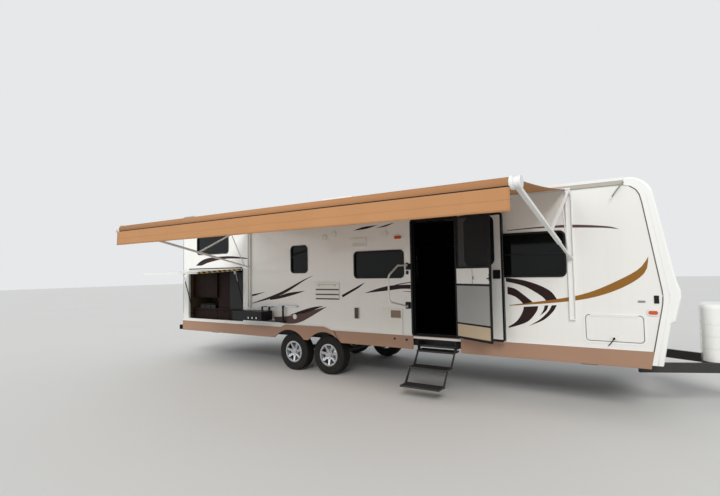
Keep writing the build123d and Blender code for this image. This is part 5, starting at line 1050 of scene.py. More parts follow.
@dataclass
class Tyre:
    """A road tyre: a turned carcass with sidewall rings and grooves, and rows of tread blocks."""

    node: str
    body: str
    radius: float = 0.360
    bead: float = 0.190
    width: float = 0.222
    tread_depth: float = 7 * MM
    sides: int = 96
    blocks: int = 56
    rows: tuple[float, ...] = (-0.078, -0.040, 0.0, 0.040, 0.078)
    # Rows further out than this are shoulder rows, with narrower blocks set deeper in the carcass
    shoulder: float = 0.070
    block_widths: Pair = (34 * MM, 30 * MM)
    block_seats: Pair = (2 * MM, 5 * MM)
    block_share: float = 0.80

    def build(self) -> None:
        """Make the tyre in the place of its node."""
        low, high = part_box(self.node)
        middle = (low + high) / 2
        bm = bmesh.new()
        self.carcass(bm, middle)
        for i, along in enumerate(self.rows):
            self.row(bm, middle, along, i)
        tyre = finished(self.node + "_road", bm, RUBBER, self.body)
        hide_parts(self.node)

    def carcass(self, bm: bmesh.types.BMesh, middle: Vector) -> None:
        """Turn the carcass about the axle, from a table of radius and half width.

        Args:
            bm: The mesh that takes it.
            middle: Centre of the tyre.
        """
        w, r, rim, floor = self.width / 2, self.radius, self.bead, self.radius - self.tread_depth
        half = [(rim, w - 0.014), (rim + 0.030, w - 0.004), (rim + 0.052, w - 0.002), (rim + 0.055, w),
                (rim + 0.062, w), (rim + 0.065, w - 0.002), (r - 0.060, w - 0.002), (r - 0.040, w - 0.005),
                (r - 0.026, w - 0.010), (r - 0.012, w - 0.018), (floor - 0.002, w - 0.028),
                (floor, w - 0.050), (floor + 0.001, 0.0)]
        around = [2 * math.pi * k / self.sides for k in range(self.sides)]
        rings = []
        for rad, y in half + [(rad, -y) for rad, y in half[-2::-1]]:
            rings.append([bm.verts.new(middle + Vector((rad * math.cos(a), y, rad * math.sin(a))))
                          for a in around])
        add_skin(bm, rings, closed_round=True)

    def row(self, bm: bmesh.types.BMesh, middle: Vector, along: float, index: int) -> None:
        """Add one row of tread blocks, made by Geometry Nodes.

        Args:
            bm: The mesh that takes them.
            middle: Centre of the tyre.
            along: The row's place along the axle.
            index: The row's number, which staggers it.
        """
        outer = int(abs(along) >= self.shoulder)
        pitch = 2 * math.pi * self.radius / self.blocks
        sizes = {"Ring": self.radius - self.tread_depth - self.block_seats[outer],
                 "Tall": 2 * (self.tread_depth - 0.5 * MM), "Long": pitch * self.block_share,
                 "Wide": self.block_widths[outer], "Count": self.blocks,
                 "Stagger": (index % 2) * math.pi / self.blocks}
        made = bake(bpy.data.meshes.new("ring_guide"), self.block_tree(), sizes)
        upright = Matrix.Rotation(math.pi / 2, 4, "X")
        made.transform(Matrix.Translation((middle.x, middle.y + along, middle.z)) @ upright)
        bm.from_mesh(made)
        bpy.data.meshes.remove(made)

    @staticmethod
    def block_tree() -> bpy.types.NodeTree:
        """Build the tree that sets blocks round a ring, once.

        Returns:
            The geometry node tree.
        """
        tree = bpy.data.node_groups.get("tread_ring")
        if tree:
            return tree
        tree = new_tree("tread_ring", ("Ring", "Tall", "Long", "Wide", "Stagger"), ("Count",))
        given = add_node(tree, "NodeGroupInput").outputs
        circle = {"Resolution": given["Count"], "Radius": given["Ring"]}
        ring = add_node(tree, "GeometryNodeCurvePrimitiveCircle", circle).outputs[0]
        size = {0: given["Tall"], 1: given["Long"], 2: given["Wide"]}
        sides = add_node(tree, "ShaderNodeCombineXYZ", size).outputs[0]
        block = add_node(tree, "GeometryNodeMeshCube", {"Size": sides}).outputs[0]
        spot = add_node(tree, "GeometryNodeInputPosition").outputs[0]
        facing = add_node(tree, "FunctionNodeAlignRotationToVector", {"Vector": spot}, axis="X").outputs[0]
        placing = {"Points": ring, "Instance": block, "Rotation": facing}
        placed = add_node(tree, "GeometryNodeInstanceOnPoints", placing).outputs[0]
        turn = add_node(tree, "ShaderNodeCombineXYZ", {2: given["Stagger"]}).outputs[0]
        turned = add_node(tree, "GeometryNodeTransform", {"Geometry": placed, "Rotation": turn}).outputs[0]
        end_tree(tree, turned, RUBBER)
        return tree


@dataclass
class WheelFace:
    """Nuts and the valve on a wheel's face."""

    node: str
    body: str
    out: float
    nuts: int = 6
    circle: float = 69.7 * MM
    nut_r: float = 10 * MM
    nut_in: float = 20 * MM
    nut_tall: float = 30 * MM
    valve_at: float = 0.170
    valve_in: float = 18 * MM
    valve_r: float = 4 * MM
    valve_tall: float = 36 * MM

    def build(self) -> None:
        """Set the nuts round the hub and the valve in the rim."""
        low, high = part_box(self.node)
        middle = (low + high) / 2
        face = high.y if self.out > 0 else low.y
        axis = Vector((0, self.out, 0))
        bm = bmesh.new()
        for i in range(self.nuts):
            a = 2 * math.pi * (i + 0.5) / self.nuts
            x, z = middle.x + self.circle * math.cos(a), middle.z + self.circle * math.sin(a)
            add_disc(bm, (x, face - self.out * self.nut_in, z), self.nut_r, self.nut_tall, axis, sides=6)
        finished(self.node + "_nuts", bm, PLATED, self.body)
        bm = bmesh.new()
        foot = (middle.x + self.valve_at, face - self.out * self.valve_in, middle.z)
        add_disc(bm, foot, self.valve_r, self.valve_tall, axis, sides=10)
        finished(self.node + "_valve", bm, BLACK_ABS, self.body, smooth=True)


@dataclass
class BodyTrim:
    """Rub rails, skirt edges, cap seams, screws, gutter lips, spouts that carry painted shadow, and the roof
    unit's sealant.
    """

    skirt_top: float = 0.843
    skirt_bottom: float = 0.632
    # Front and rear stations of each run of the rub rail and of the skirt's rolled edge
    rail_runs: dict[str, tuple[Pair, ...]] = field(default_factory=lambda: {
        "curb": ((0.335, 2.840), (3.676, 9.730)),
        "off": ((0.335, 9.730),),
    })
    edge_runs: dict[str, tuple[Pair, ...]] = field(default_factory=lambda: {
        "curb": ((0.345, 2.838), (3.668, 5.110), (6.770, 9.725)),
        "off": ((0.345, 5.110), (6.770, 9.725)),
    })
    rail_h: float = 12 * MM
    rail_out: float = 13 * MM
    edge_out: float = 2 * MM
    edge_r: float = 7 * MM
    # The cap's rear edge, as (station, height): foot, knee and top, and then round the roof's corner
    cap_foot: Point = (0.338, 0.678)
    cap_knee: Point = (0.176, 1.504)
    cap_top: Point = (0.360, 2.700)
    cap_corner: tuple[Point, ...] = ((0.384, 2.810), (0.422, 2.878), (0.486, 2.928))
    knee_round: float = 0.122
    bead_behind: float = 4 * MM
    bead_out: float = 1 * MM
    bead_r: float = 9 * MM
    rib_ahead: float = 62 * MM
    rib_out: float = 11 * MM
    rib_r: float = 4 * MM
    # Gutter screws: front station, rear station and height, and how far they stand out from the wall
    screw_line: Triple = (0.62, 9.70, 2.985)
    screw_out: float = 18 * MM
    bolt_heights: Pair = (1.26, 1.96)
    bolt_out: float = 6 * MM
    channel_half: float = 37.5 * MM
    # A gutter lip's share of the gutter's height, and how far it stands in, out and above the gutter
    lip_share: float = 0.42
    lip_edges: Triple = (4 * MM, 3 * MM, 2 * MM)
    # A spout's line, drawn on down its shadow on the wall as painted shadow: station, distance out from the
    # wall and height
    spout_shadow_line: tuple[Triple, ...] = ((0.560, 0.010, 2.985), (0.590, 0.030, 2.950), (0.655, 0.060, 2.860),
                                (0.690, 0.075, 2.800))
    spout_shadow_r: float = 9 * MM
    sealant_up: float = 12 * MM
    sealant_r: float = 9 * MM

    def build(self) -> None:
        """Make the trim on both sides and on the roof."""
        self.rub_rails()
        self.skirt_edges()
        self.cap_seams()
        self.screws()
        self.gutter_lips()
        self.spouts_and_shadows()
        self.roof_sealant()

    def rub_rails(self) -> None:
        """Lay a slim white rail along the top of each skirt."""
        for name, wall, out in SIDES:
            bm = bmesh.new()
            for front, rear in self.rail_runs[name]:
                span = (front, rear, self.skirt_top, self.skirt_top + self.rail_h)
                add_wall_block(bm, span, wall, wall + out * self.rail_out)
            finished(f"rub_rail_{name}", bm, POWDER)

    def skirt_edges(self) -> None:
        """Roll the lower edge of each skirt."""
        for name, wall, out in SIDES:
            bm = bmesh.new()
            for run in self.edge_runs[name]:
                path = [mark(s, wall + out * self.edge_out, self.skirt_bottom) for s in run]
                add_tube(bm, path, self.edge_r, sides=10)
            finished(f"skirt_edge_{name}", bm, SKIRT_PAINT, smooth=True)

    def cap_seams(self) -> None:
        """Run the sealing bead along the cap's rear edge, and a moulded line ahead of it."""
        low, knee, high = Vector(self.cap_foot), Vector(self.cap_knee), Vector(self.cap_top)
        before = knee + (low - knee).normalized() * self.knee_round
        after = knee + (high - knee).normalized() * self.knee_round
        bend = [before.lerp(knee, t).lerp(knee.lerp(after, t), t) for t in (0, 0.25, 0.5, 0.75, 1)]
        edge = [tuple(p) for p in (low, *bend, high)] + list(self.cap_corner)
        for name, wall, out in SIDES:
            bm = bmesh.new()
            y = wall + out * self.bead_out
            add_tube(bm, [mark(s + self.bead_behind, y, h) for s, h in edge], self.bead_r)
            finished(f"cap_bead_{name}", bm, BEAD, smooth=True)
            bm = bmesh.new()
            y = wall + out * self.rib_out
            add_tube(bm, [mark(s - self.rib_ahead, y, h) for s, h in flow(edge[:-2], 4)], self.rib_r)
            finished(f"cap_rib_{name}", bm, CAP_GEL, smooth=True)

    def screws(self) -> None:
        """Set screw heads along the gutters and the awning's wall channels."""
        front, rear, height = self.screw_line
        paths = [[mark(s, wall + out * self.screw_out, height) for s in (front, rear)]
                 for _, wall, out in SIDES]
        Row("gutter_screws", spacing=0.30, width=3.5 * MM, depth=3 * MM).lay(paths, MILL, "trim_alloy")
        rear_end, front_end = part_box("awning_channels")
        channels = (front_end.x - self.channel_half, rear_end.x + self.channel_half)
        paths = [[(x, CURB_Y - self.bolt_out, up(h)) for h in self.bolt_heights] for x in channels]
        Row("channel_screws", spacing=0.24, width=4 * MM, depth=4 * MM).lay(paths, MILL, "trim_alloy")

    def gutter_lips(self) -> None:
        """Lay the white lip of the roof's edge moulding over each gutter's upper part, above its painted
        shade.
        """
        low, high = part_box("gutter_rails")
        start = high.z - self.lip_share * (high.z - low.z)
        inward, outward, above = self.lip_edges
        for (name, _, out), y in zip(SIDES, (low.y, high.y)):
            bm = bmesh.new()
            y0, y1 = sorted((y - out * inward, y + out * outward))
            add_block(bm, (low.x, y0, start), (high.x, y1, high.z + above))
            finished(f"gutter_lip_{name}", bm, POWDER)

    def spouts_and_shadows(self) -> None:
        """Hang a slanted grey spout at the front end of each gutter, run on down the line of its shadow as
        painted shadow.
        """
        for name, wall, out in SIDES:
            bm = bmesh.new()
            add_tube(bm, [mark(s, wall + out * y, h) for s, y, h in self.spout_shadow_line], self.spout_shadow_r)
            finished(f"gutter_spout_shadow_{name}", bm, GREY_ABS, smooth=True)

    def roof_sealant(self) -> None:
        """Run the sealant bead round the roof unit's foot."""
        bm = bmesh.new()
        low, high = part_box("roof_unit")
        z = low.z + self.sealant_up
        corners = [(low.x, low.y), (high.x, low.y), (high.x, high.y), (low.x, high.y), (low.x, low.y)]
        for a, b in zip(corners[:-1], corners[1:]):
            add_tube(bm, [Vector((*a, z)), Vector((*b, z))], self.sealant_r)
        finished("roof_sealant", bm, SEALANT, smooth=True)


@dataclass
class StepGrip:
    """Punched grip rings on the entry steps' treads."""

    # Each tread's height above the ground, and how far its edge stands out from the wall
    treads: tuple[Pair, ...] = ((0.630, 0.060), (0.420, 0.340), (0.200, 0.630))
    tread_depth: float = 0.230
    margin: float = 30 * MM
    middle: float = 3.258
    half: float = 0.290
    rows: int = 5
    spacing: float = 40 * MM
    ring_r: float = 9 * MM
    ring_tall: float = 2.4 * MM

    def build(self) -> None:
        """Lay rows of punched rings on each tread."""
        ends = (self.middle - self.half, self.middle + self.half)
        step = (self.tread_depth - 2 * self.margin) / (self.rows - 1)
        paths = []
        for height, nose in self.treads:
            for i in range(self.rows):
                paths.append([mark(s, CURB_Y - nose + self.margin + i * step, height) for s in ends])
        ring = Row("step_grip", self.spacing, self.ring_r, self.ring_tall, turn=(0.0, 0.0, 0.0))
        ring.lay(paths, BLACK_ABS, "trim_black")


@dataclass
class Galley:
    """Small things of the outdoor galley: the tape on its hatch's edge and the cooker's grates."""

    hatch_front: float = 7.694
    hatch_low: float = 0.906
    hatch_top: float = 2.004
    # The hatch's hinge, as distance behind the wall's face and height, and how far the hatch stands open
    hatch_hinge: Point = (-6 * MM, 2.016)
    hatch_open: float = math.radians(-87)
    # The tape: its two edges behind the wall's face, its ends, and its slanted blocks
    tape: Pair = (3 * MM, 37 * MM)
    tape_end: float = 30 * MM
    first_block: float = 50 * MM
    block: float = 62 * MM
    pitch: float = 0.122
    slant: float = 34 * MM
    # How far the tape's base and its blocks lie behind and ahead of the hatch's edge
    base_film: Pair = (-0.3 * MM, 0.6 * MM)
    block_film: Pair = (0.2 * MM, 1.2 * MM)
    # The grates: bars across the counter, by first station, pitch and count, and two rails along it
    bar_at: float = 8.880
    bar_pitch: float = 75 * MM
    bars: int = 7
    bar_ends: Pair = (0.19, 0.53)
    bar_up: float = 1.228
    rails: Pair = (0.20, 0.52)
    rail_ends: Pair = (8.86, 9.35)
    rail_up: float = 1.226
    bar_r: float = 4 * MM

    def build(self) -> None:
        """Make the tape and the grates."""
        self.edge_tape()
        self.grates()

    def edge_tape(self) -> None:
        """Lay reflecting tape with slanted yellow blocks on the nose-side edge of the open hatch."""
        hinge = Matrix.Translation((0, CURB_Y + self.hatch_hinge[0], up(self.hatch_hinge[1])))
        turn = hinge @ Matrix.Rotation(self.hatch_open, 4, "X") @ hinge.inverted()
        y0, y1 = (CURB_Y + y for y in self.tape)
        x = at(self.hatch_front)
        base = bmesh.new()
        back, face = self.base_film
        add_block(base, (x + back, y0, up(self.hatch_low + self.tape_end)),
                  (x + face, y1, up(self.hatch_top - self.tape_end)))
        blocks = bmesh.new()
        room = self.hatch_top - self.hatch_low - self.first_block - self.tape_end
        for k in range(int(room / self.pitch)):
            z = up(self.hatch_low + self.first_block + k * self.pitch)
            corners = [(y0, z), (y1, z + self.slant), (y1, z + self.slant + self.block), (y0, z + self.block)]
            add_skin(blocks, [[blocks.verts.new((depth, *c)) for c in corners]
                              for depth in (x + film for film in self.block_film)])
        for name, bm, finish in (("base", base, TAPE_BASE), ("blocks", blocks, TAPE_YELLOW)):
            bm.transform(turn)
            finished(f"hatch_tape_{name}", bm, finish, "kitchen_hatch")

    def grates(self) -> None:
        """Lay the bar grates on the cooker."""
        bm = bmesh.new()
        for i in range(self.bars):
            station = self.bar_at + i * self.bar_pitch
            add_tube(bm, [mark(station, CURB_Y + y, self.bar_up) for y in self.bar_ends], self.bar_r)
        for y in self.rails:
            add_tube(bm, [mark(s, CURB_Y + y, self.rail_up) for s in self.rail_ends], self.bar_r)
        finished("cooker_grate", bm, CHASSIS, smooth=True)


@dataclass
class DoorDetails:
    """Gaskets and edge trim of the entry door's leaf, and the screen door's slide, pull and latch."""

    trim: Span = (2.881, 3.643, 0.867, 2.710)
    trim_corner: float = 39 * MM
    trim_width: float = 31 * MM
    trim_tall: float = 3 * MM
    window: Span = (3.048, 3.478, 1.980, 2.650)
    window_corner: float = 70 * MM
    # How far the gasket reaches from the window's edge, inwards and outwards
    gasket: Pair = (-6 * MM, 34 * MM)
    gasket_tall: float = 5 * MM
    # The leaf's inner and outer faces, behind the wall's face, and how far the rings are let in
    inner: float = 12 * MM
    outer: float = -14 * MM
    let_in: float = 1 * MM
    # Blocks of the closed screen: a span, and its two depths behind the wall's face
    slide_blocks: tuple[tuple[Span, Pair], ...] = (
        ((3.258, 3.268, 1.692, 1.913), (34.5 * MM, 37.5 * MM)),
        ((3.274, 3.292, 1.755, 1.800), (34.5 * MM, 44 * MM)),
    )
    latch_blocks: tuple[tuple[Span, Pair], ...] = (
        ((3.606, 3.630, 1.735, 1.835), (37.5 * MM, 43 * MM)),
        ((3.575, 3.622, 1.760, 1.776), (42 * MM, 50 * MM)),
    )

    def build(self) -> None:
        """Make the leaf's rings and the screen's small parts."""
        self.rings()
        self.screen_parts()

    @staticmethod
    def opened(bm: bmesh.types.BMesh, angle: float) -> None:
        """Turn a mesh made on the closed door to where the open door has it.

        Args:
            bm: The mesh.
            angle: The door's opening.
        """
        hinge = Matrix.Translation(HINGE)
        bm.transform(hinge @ Matrix.Rotation(angle, 4, "Z") @ hinge.inverted())

    def rings(self) -> None:
        """Lay a flat gasket round the window on both faces, and black trim round the leaf's inner face."""
        near, far = (rounded(self.window, self.window_corner, grow) for grow in self.gasket)
        inside = rounded(self.trim, self.trim_corner, -self.trim_width)
        outside = rounded(self.trim, self.trim_corner)
        back = self.inner - self.let_in
        rings = (("door_gasket_in", near, far, back, self.inner + self.gasket_tall),
                 ("door_gasket_out", near, far, self.outer + self.let_in, self.outer - self.gasket_tall),
                 ("door_edge_trim", inside, outside, back, self.inner + self.trim_tall))
        for name, hole, rim, start, end in rings:
            bm = bmesh.new()
            add_ring(bm, hole, rim, CURB_Y + start, CURB_Y + end)
            self.opened(bm, DOOR_OPEN)
            finished(name, bm, BLACK_ABS, "entry_door")

    def screen_parts(self) -> None:
        """Make the sliding panel's meeting bar and pull, and the latch near the screen's free edge."""
        parts = (("screen_slide", self.slide_blocks, SMOKED), ("screen_latch", self.latch_blocks, BLACK_ABS))
        for name, blocks, finish in parts:
            bm = bmesh.new()
            for span, (start, end) in blocks:
                add_wall_block(bm, span, CURB_Y + start, CURB_Y + end)
            self.opened(bm, SCREEN_OPEN)
            finished(name, bm, finish, "screen_door")


@dataclass
class Grille:
    """A plate on the curb wall with a row of ribs across it."""

    plate: str
    ribs: str
    finish: Finish
    slot: str
    span: Span
    corner: float
    # How far the plate's back, its face and the ribs' middle stand out from the wall
    depths: Triple
    inset: float
    # Heights of the first rib and of the end of the row, and the pitch
    heights: Pair
    pitch: float
    # Width, depth and length of a rib
    rib: Triple

    def build(self) -> None:
        """Make the plate and its ribs."""
        back, face, middle = (CURB_Y - depth for depth in self.depths)
        bm = bmesh.new()
        add_plate(bm, rounded(self.span, self.corner), back, face, self.inset)
        finished(self.plate, bm, self.finish)
        width, depth, length = self.rib
        station = (self.span[0] + self.span[1]) / 2
        ribs = Row(self.ribs, self.pitch, width, depth, head=Head.BAR, length=length)
        ribs.lay([[mark(station, middle, h) for h in self.heights]], self.finish, self.slot)


@dataclass
class WallDetails:
    """Small things on the walls: louvres, grilles, covers, nose fittings, ports and luggage door parts."""

    # The fridge vent: its stations, its strips' heights and half height, and how far each face stands out
    vent: Pair = (5.154, 5.693)
    vent_strips: Triple = (1.410, 1.490, 1.580)
    strip_half: float = 12 * MM
    strip_depths: Pair = (17 * MM, 8 * MM)
    knob_out: float = 15 * MM
    knobs: Pair = (5.24, 5.61)
    knob_up: float = 1.652
    grilles: tuple[Grille, ...] = (
        Grille("small_vent_plate", "small_vent_ribs", BROWN_ABS, "trim_black", (4.724, 4.812, 1.076, 1.264),
               6 * MM, (15 * MM, 18 * MM, 19 * MM), 2 * MM, (1.090, 1.250), 21.5 * MM,
               (8 * MM, 6 * MM, 76 * MM)),
        Grille("flue_grille", "flue_ribs", FLUE_TAN, "trim_white", (3.877, 4.070, 1.121, 1.243),
               8 * MM, (12 * MM, 16 * MM, 17 * MM), 2 * MM, (1.131, 1.234), 20.5 * MM,
               (7 * MM, 5 * MM, 0.173)),
    )
    # Covers behind the grab handle: a span and the radius of its corners
    covers: tuple[tuple[Span, float], ...] = (
        ((3.683, 3.775, 1.913, 2.017), 14 * MM),
        ((3.690, 3.790, 1.275, 1.387), 14 * MM),
        ((3.721, 3.771, 1.835, 1.900), 18 * MM),
    )
    # Nose fittings: name, span, radius of the corners, height, slope of the edge, finish and slot
    fittings: tuple[tuple[str, Span, float, float, float, Finish, str], ...] = (
        ("nose_inlet", (0.233, 0.287, 1.436, 1.534), 6 * MM, 9 * MM, 3 * MM, BLACK_ABS, "trim_black"),
        ("nose_marker", (0.378, 0.464, 1.4445, 1.4695), 12 * MM, 7 * MM, 3 * MM, GREY_ABS, "trim_white"),
        ("lamp_base", (0.232, 0.374, 1.279, 1.361), 36 * MM, 9 * MM, 5 * MM, WHITE_ABS, "trim_white"),
    )
    # The skirt's face, out from the wall, and its ports
    skirt_out: float = 9.5 * MM
    drain: Point = (4.004, 0.776)
    drain_r: float = 17 * MM
    port: Span = (3.752, 3.794, 0.757, 0.787)
    port_plate: Span = (3.730, 3.816, 0.748, 0.796)
    # The luggage doors: outline, the seal's two edges inside it, and the handle's hub and lever
    luggage: Span = (0.393, 1.088, 0.924, 1.290)
    luggage_corner: float = 55 * MM
    seal: Pair = (-14.5 * MM, -9.5 * MM)
    seal_depths: Pair = (3 * MM, 5.8 * MM)
    hub: Point = (0.746, 0.977)
    hub_r: float = 15 * MM
    hub_out: float = 16 * MM
    lever: tuple[Triple, ...] = ((0.746, 20 * MM, 0.972), (0.762, 24 * MM, 0.950), (0.790, 24 * MM, 0.912),
                                (0.812, 22 * MM, 0.884))
    lever_r: float = 6 * MM

    def build(self) -> None:
        """Make the walls' small pieces."""
        self.fridge_vent()
        for grille in self.grilles:
            grille.build()
        self.handle_covers()
        self.nose()
        self.skirt_ports()
        self.luggage_parts()

    def fridge_vent(self) -> None:
        """Set brown louvre strips in the fridge vent's slots, and its two knobs."""
        bm = bmesh.new()
        for h in self.vent_strips:
            face, back = (CURB_Y - depth for depth in self.strip_depths)
            add_wall_block(bm, (*self.vent, h - self.strip_half, h + self.strip_half), face, back)
        finished("vent_louvres", bm, BROWN_ABS)
        bm = bmesh.new()
        for s in self.knobs:
            centre = mark(s, CURB_Y - self.knob_out, self.knob_up)
            add_disc(bm, centre, radius=9 * MM, depth=4 * MM, axis=ACROSS, sides=16)
        finished("vent_knobs", bm, BROWN_ABS)

    def handle_covers(self) -> None:
        """Set black covers behind the grab handle's brackets, and the knob below the upper one."""
        bm = bmesh.new()
        for span, corner in self.covers:
            add_plate(bm, rounded(span, corner), CURB_Y + 0.5 * MM, CURB_Y - 8 * MM, inset=4 * MM)
        finished("handle_covers", bm, BLACK_ABS)

    def nose(self) -> None:
        """Set the dark inlet, the oval marker and the side lamp's base on both sides of the nose."""
        for side, wall, out in SIDES:
            for name, span, corner, height, slope, finish, slot in self.fittings:
                bm = bmesh.new()
                add_plate(bm, rounded(span, corner), wall, wall + out * height, slope)
                finished(f"{name}_{side}", bm, finish)

    def skirt_ports(self) -> None:
        """Set the drain port and the cable port on the curb side's skirt, ahead of the wheels."""
        face = CURB_Y - self.skirt_out
        bm = bmesh.new()
        station, height = self.drain
        add_disc(bm, mark(station, face - 5 * MM, height), self.drain_r, depth=12 * MM, axis=ACROSS)
        add_plate(bm, rounded(self.port, corner=6 * MM), face - 6 * MM, face - 14 * MM, inset=3 * MM)
        finished("skirt_ports", bm, BLACK_ABS)
        bm = bmesh.new()
        add_plate(bm, rounded(self.port_plate, corner=8 * MM), face, face - 10 * MM, inset=3 * MM)
        finished("cable_port_plate", bm, GREY_ABS)

    def luggage_parts(self) -> None:
        """Lay seal lines round the luggage doors, and set their latches' folding handles."""
        hole, rim = (rounded(self.luggage, self.luggage_corner, grow) for grow in self.seal)
        station, height = self.hub
        for name, wall, out in SIDES:
            bm = bmesh.new()
            add_ring(bm, hole, rim, *(wall + out * depth for depth in self.seal_depths))
            finished(f"luggage_seal_{name}", bm, GREY_ABS)
            bm = bmesh.new()
            centre = mark(station, wall + out * self.hub_out, height)
            add_disc(bm, centre, self.hub_r, depth=12 * MM, axis=ACROSS, sides=20)
            add_tube(bm, [mark(s, wall + out * y, h) for s, y, h in self.lever], self.lever_r)
            finished(f"luggage_handle_{name}", bm, BLACK_ABS, f"luggage_door_{name}")


@dataclass
class Dressing:
    """Finishes of the solid nodes, with rules for the nodes that hold more than one."""

    plain: dict[Finish, str] = field(default_factory=lambda: {
        CHASSIS: "main_frame a_frame coupler rear_bumper axles leaf_springs stabilisers entry_steps "
                 "jack_tube",
        PLYWOOD: "floor",
        GEL_COAT: "curb_wall off_wall rear_wall kitchen_hatch luggage_door_curb luggage_door_off",
        CAP_GEL: "front_cap lp_cover entry_door",
        MEMBRANE: "roof",
        GUTTER_PAINTED_SHADE: "gutter_rails",
        SKIRT_PAINT: "curb_skirt off_skirt",
        BLACK_ABS: "window_frames entry_frame screen_door strut_tubes handle_brackets hatch_fittings",
        GLAZING: "window_glass entry_door_glass",
        MESH: "screen_mesh",
        PLATED: "strut_rods jack_leg",
        WALLBOARD: "kitchen_shell interior_walls",
        CHERRY_PAINTED_SHADE: "kitchen_cabinets",
        APPLIANCE: "kitchen_appliances camp_grill",
        POWDER: "luggage_frames grab_handle awning_channels awning_arms awning_roller",
        WHITE_ABS: "wall_fittings roof_unit roof_vents",
        AMBER: "lights",
        MILL: "ladder",
    })
    # The walls' thickness less half a millimetre: faces deeper than this are the cabin's lining
    lining: float = 49.5 * MM
    rear_lining_top: float = 2.95
    floor_top: float = 0.8425
    counter_top: float = 1.130
    # Panels of the closed screen: stations, depths, and each one's heights and slot number
    screen_stations: Pair = (2.909, 3.607)
    screen_depths: Pair = (30.0 * MM, 36.2 * MM)
    screen_bays: tuple[tuple[float, float, int], ...] = ((1.688, 1.917, 1), (1.108, 1.662, 2),
                                                         (0.903, 1.087, 3))
    # The entry door's skins, behind the wall's face, and how near a face's centre has to be
    door_skins: Pair = (12 * MM, -14 * MM)
    skin_reach: float = 0.6 * MM
    # The cooking station's rail lies above and behind these, and its knobs ahead of and between these
    rail_from: Pair = (1.236, 41 * MM)
    knobs_ahead: float = 0.3605
    knob_heights: Pair = (1.01, 1.06)

    def build(self) -> None:
        """Give every solid node its finish."""
        finishes = {name: finish for finish, names in self.plain.items() for name in names.split()}
        for name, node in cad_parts.items():
            wheel_finish = ALLOY if name.startswith("rim_") else RUBBER
            self.paint(node, [finishes.get(name, wheel_finish)])
        rear_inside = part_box("rear_wall")[1].x
        self.share("lights", [AMBER, RED], lambda c: int(c.x < rear_inside))
        self.share("screen_door", [BLACK_ABS, CAP_GEL, SMOKED, KICK_PANEL], self.screen_part)
        self.share("entry_door", [CAP_GEL, BLACK_ABS], self.door_part)
        self.share("camp_grill", [APPLIANCE, MILL, PLATED], self.grill_part)
        self.share("kitchen_cabinets", [CHERRY_PAINTED_SHADE, WORKTOP],
                   lambda c: int(abs(c.z - up(self.counter_top)) < 2 * MM))
        self.share("curb_wall", [GEL_COAT, CHERRY_PAINTED_SHADE], lambda c: int(c.y > CURB_Y + self.lining))
        self.share("off_wall", [GEL_COAT, CHERRY_PAINTED_SHADE], lambda c: int(c.y < OFF_Y - self.lining))
        self.share("rear_wall", [GEL_COAT, CHERRY_PAINTED_SHADE],
                   lambda c: int(c.x > rear_inside - 0.5 * MM and c.z < up(self.rear_lining_top)))
        self.share("floor", [PLYWOOD, CHERRY_PAINTED_SHADE], lambda c: int(c.z > up(self.floor_top)))

    @staticmethod
    def paint(node: bpy.types.Object, finishes: Sequence[Finish]) -> None:
        """Put finishes in a node's slots.

        Args:
            node: The node's object.
            finishes: The finishes, in slot order.
        """
        node.data.materials.clear()
        for finish in finishes:
            node.data.materials.append(finish.material())

    def share(self, name: str, finishes: Sequence[Finish], rule: Callable[[Vector], int]) -> None:
        """Share a node's faces among several finishes.

        Args:
            name: The node's name.
            finishes: The finishes, in slot order.
            rule: The slot number for a face's centre.
        """
        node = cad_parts[name]
        self.paint(node, finishes)
        for face in node.data.polygons:
            face.material_index = rule(face.center)

    def screen_part(self, centre: Vector) -> int:
        """Tell which finish a face of the screen door takes, from its place with the door closed.

        Args:
            centre: The face's centre, with the door open.

        Returns:
            The slot number: black frame, white panel, smoked slide or tan foot.
        """
        spot = HINGE + Matrix.Rotation(-SCREEN_OPEN, 3, "Z") @ (centre - HINGE)
        station, height, depth = NOSE_X - spot.x, spot.z + BALL_HEIGHT, spot.y - CURB_Y
        front, rear = self.screen_stations
        near, far = self.screen_depths
        if not (front < station < rear and near < depth < far):
            return 0
        return next((part for low, top, part in self.screen_bays if low < height < top), 0)

    def door_part(self, centre: Vector) -> int:
        """Tell which finish a face of the entry door takes.

        Args:
            centre: The face's centre, with the door open.

        Returns:
            The slot number: white skins, or black edges, hinges and lock.
        """
        spot = HINGE + Matrix.Rotation(-DOOR_OPEN, 3, "Z") @ (centre - HINGE)
        depth = spot.y - CURB_Y
        return 0 if any(abs(depth - skin) < self.skin_reach for skin in self.door_skins) else 1

    def grill_part(self, centre: Vector) -> int:
        """Tell which finish a face of the cooking station takes.

        Args:
            centre: The face's centre.

        Returns:
            The slot number: black box, alloy rail or bright knobs.
        """
        height, ahead = self.rail_from
        if centre.z > up(height) and centre.y > CURB_Y - ahead:
            return 1
        low, top = self.knob_heights
        if centre.y < CURB_Y - self.knobs_ahead and up(low) < centre.z < up(top):
            return 2
        return 0


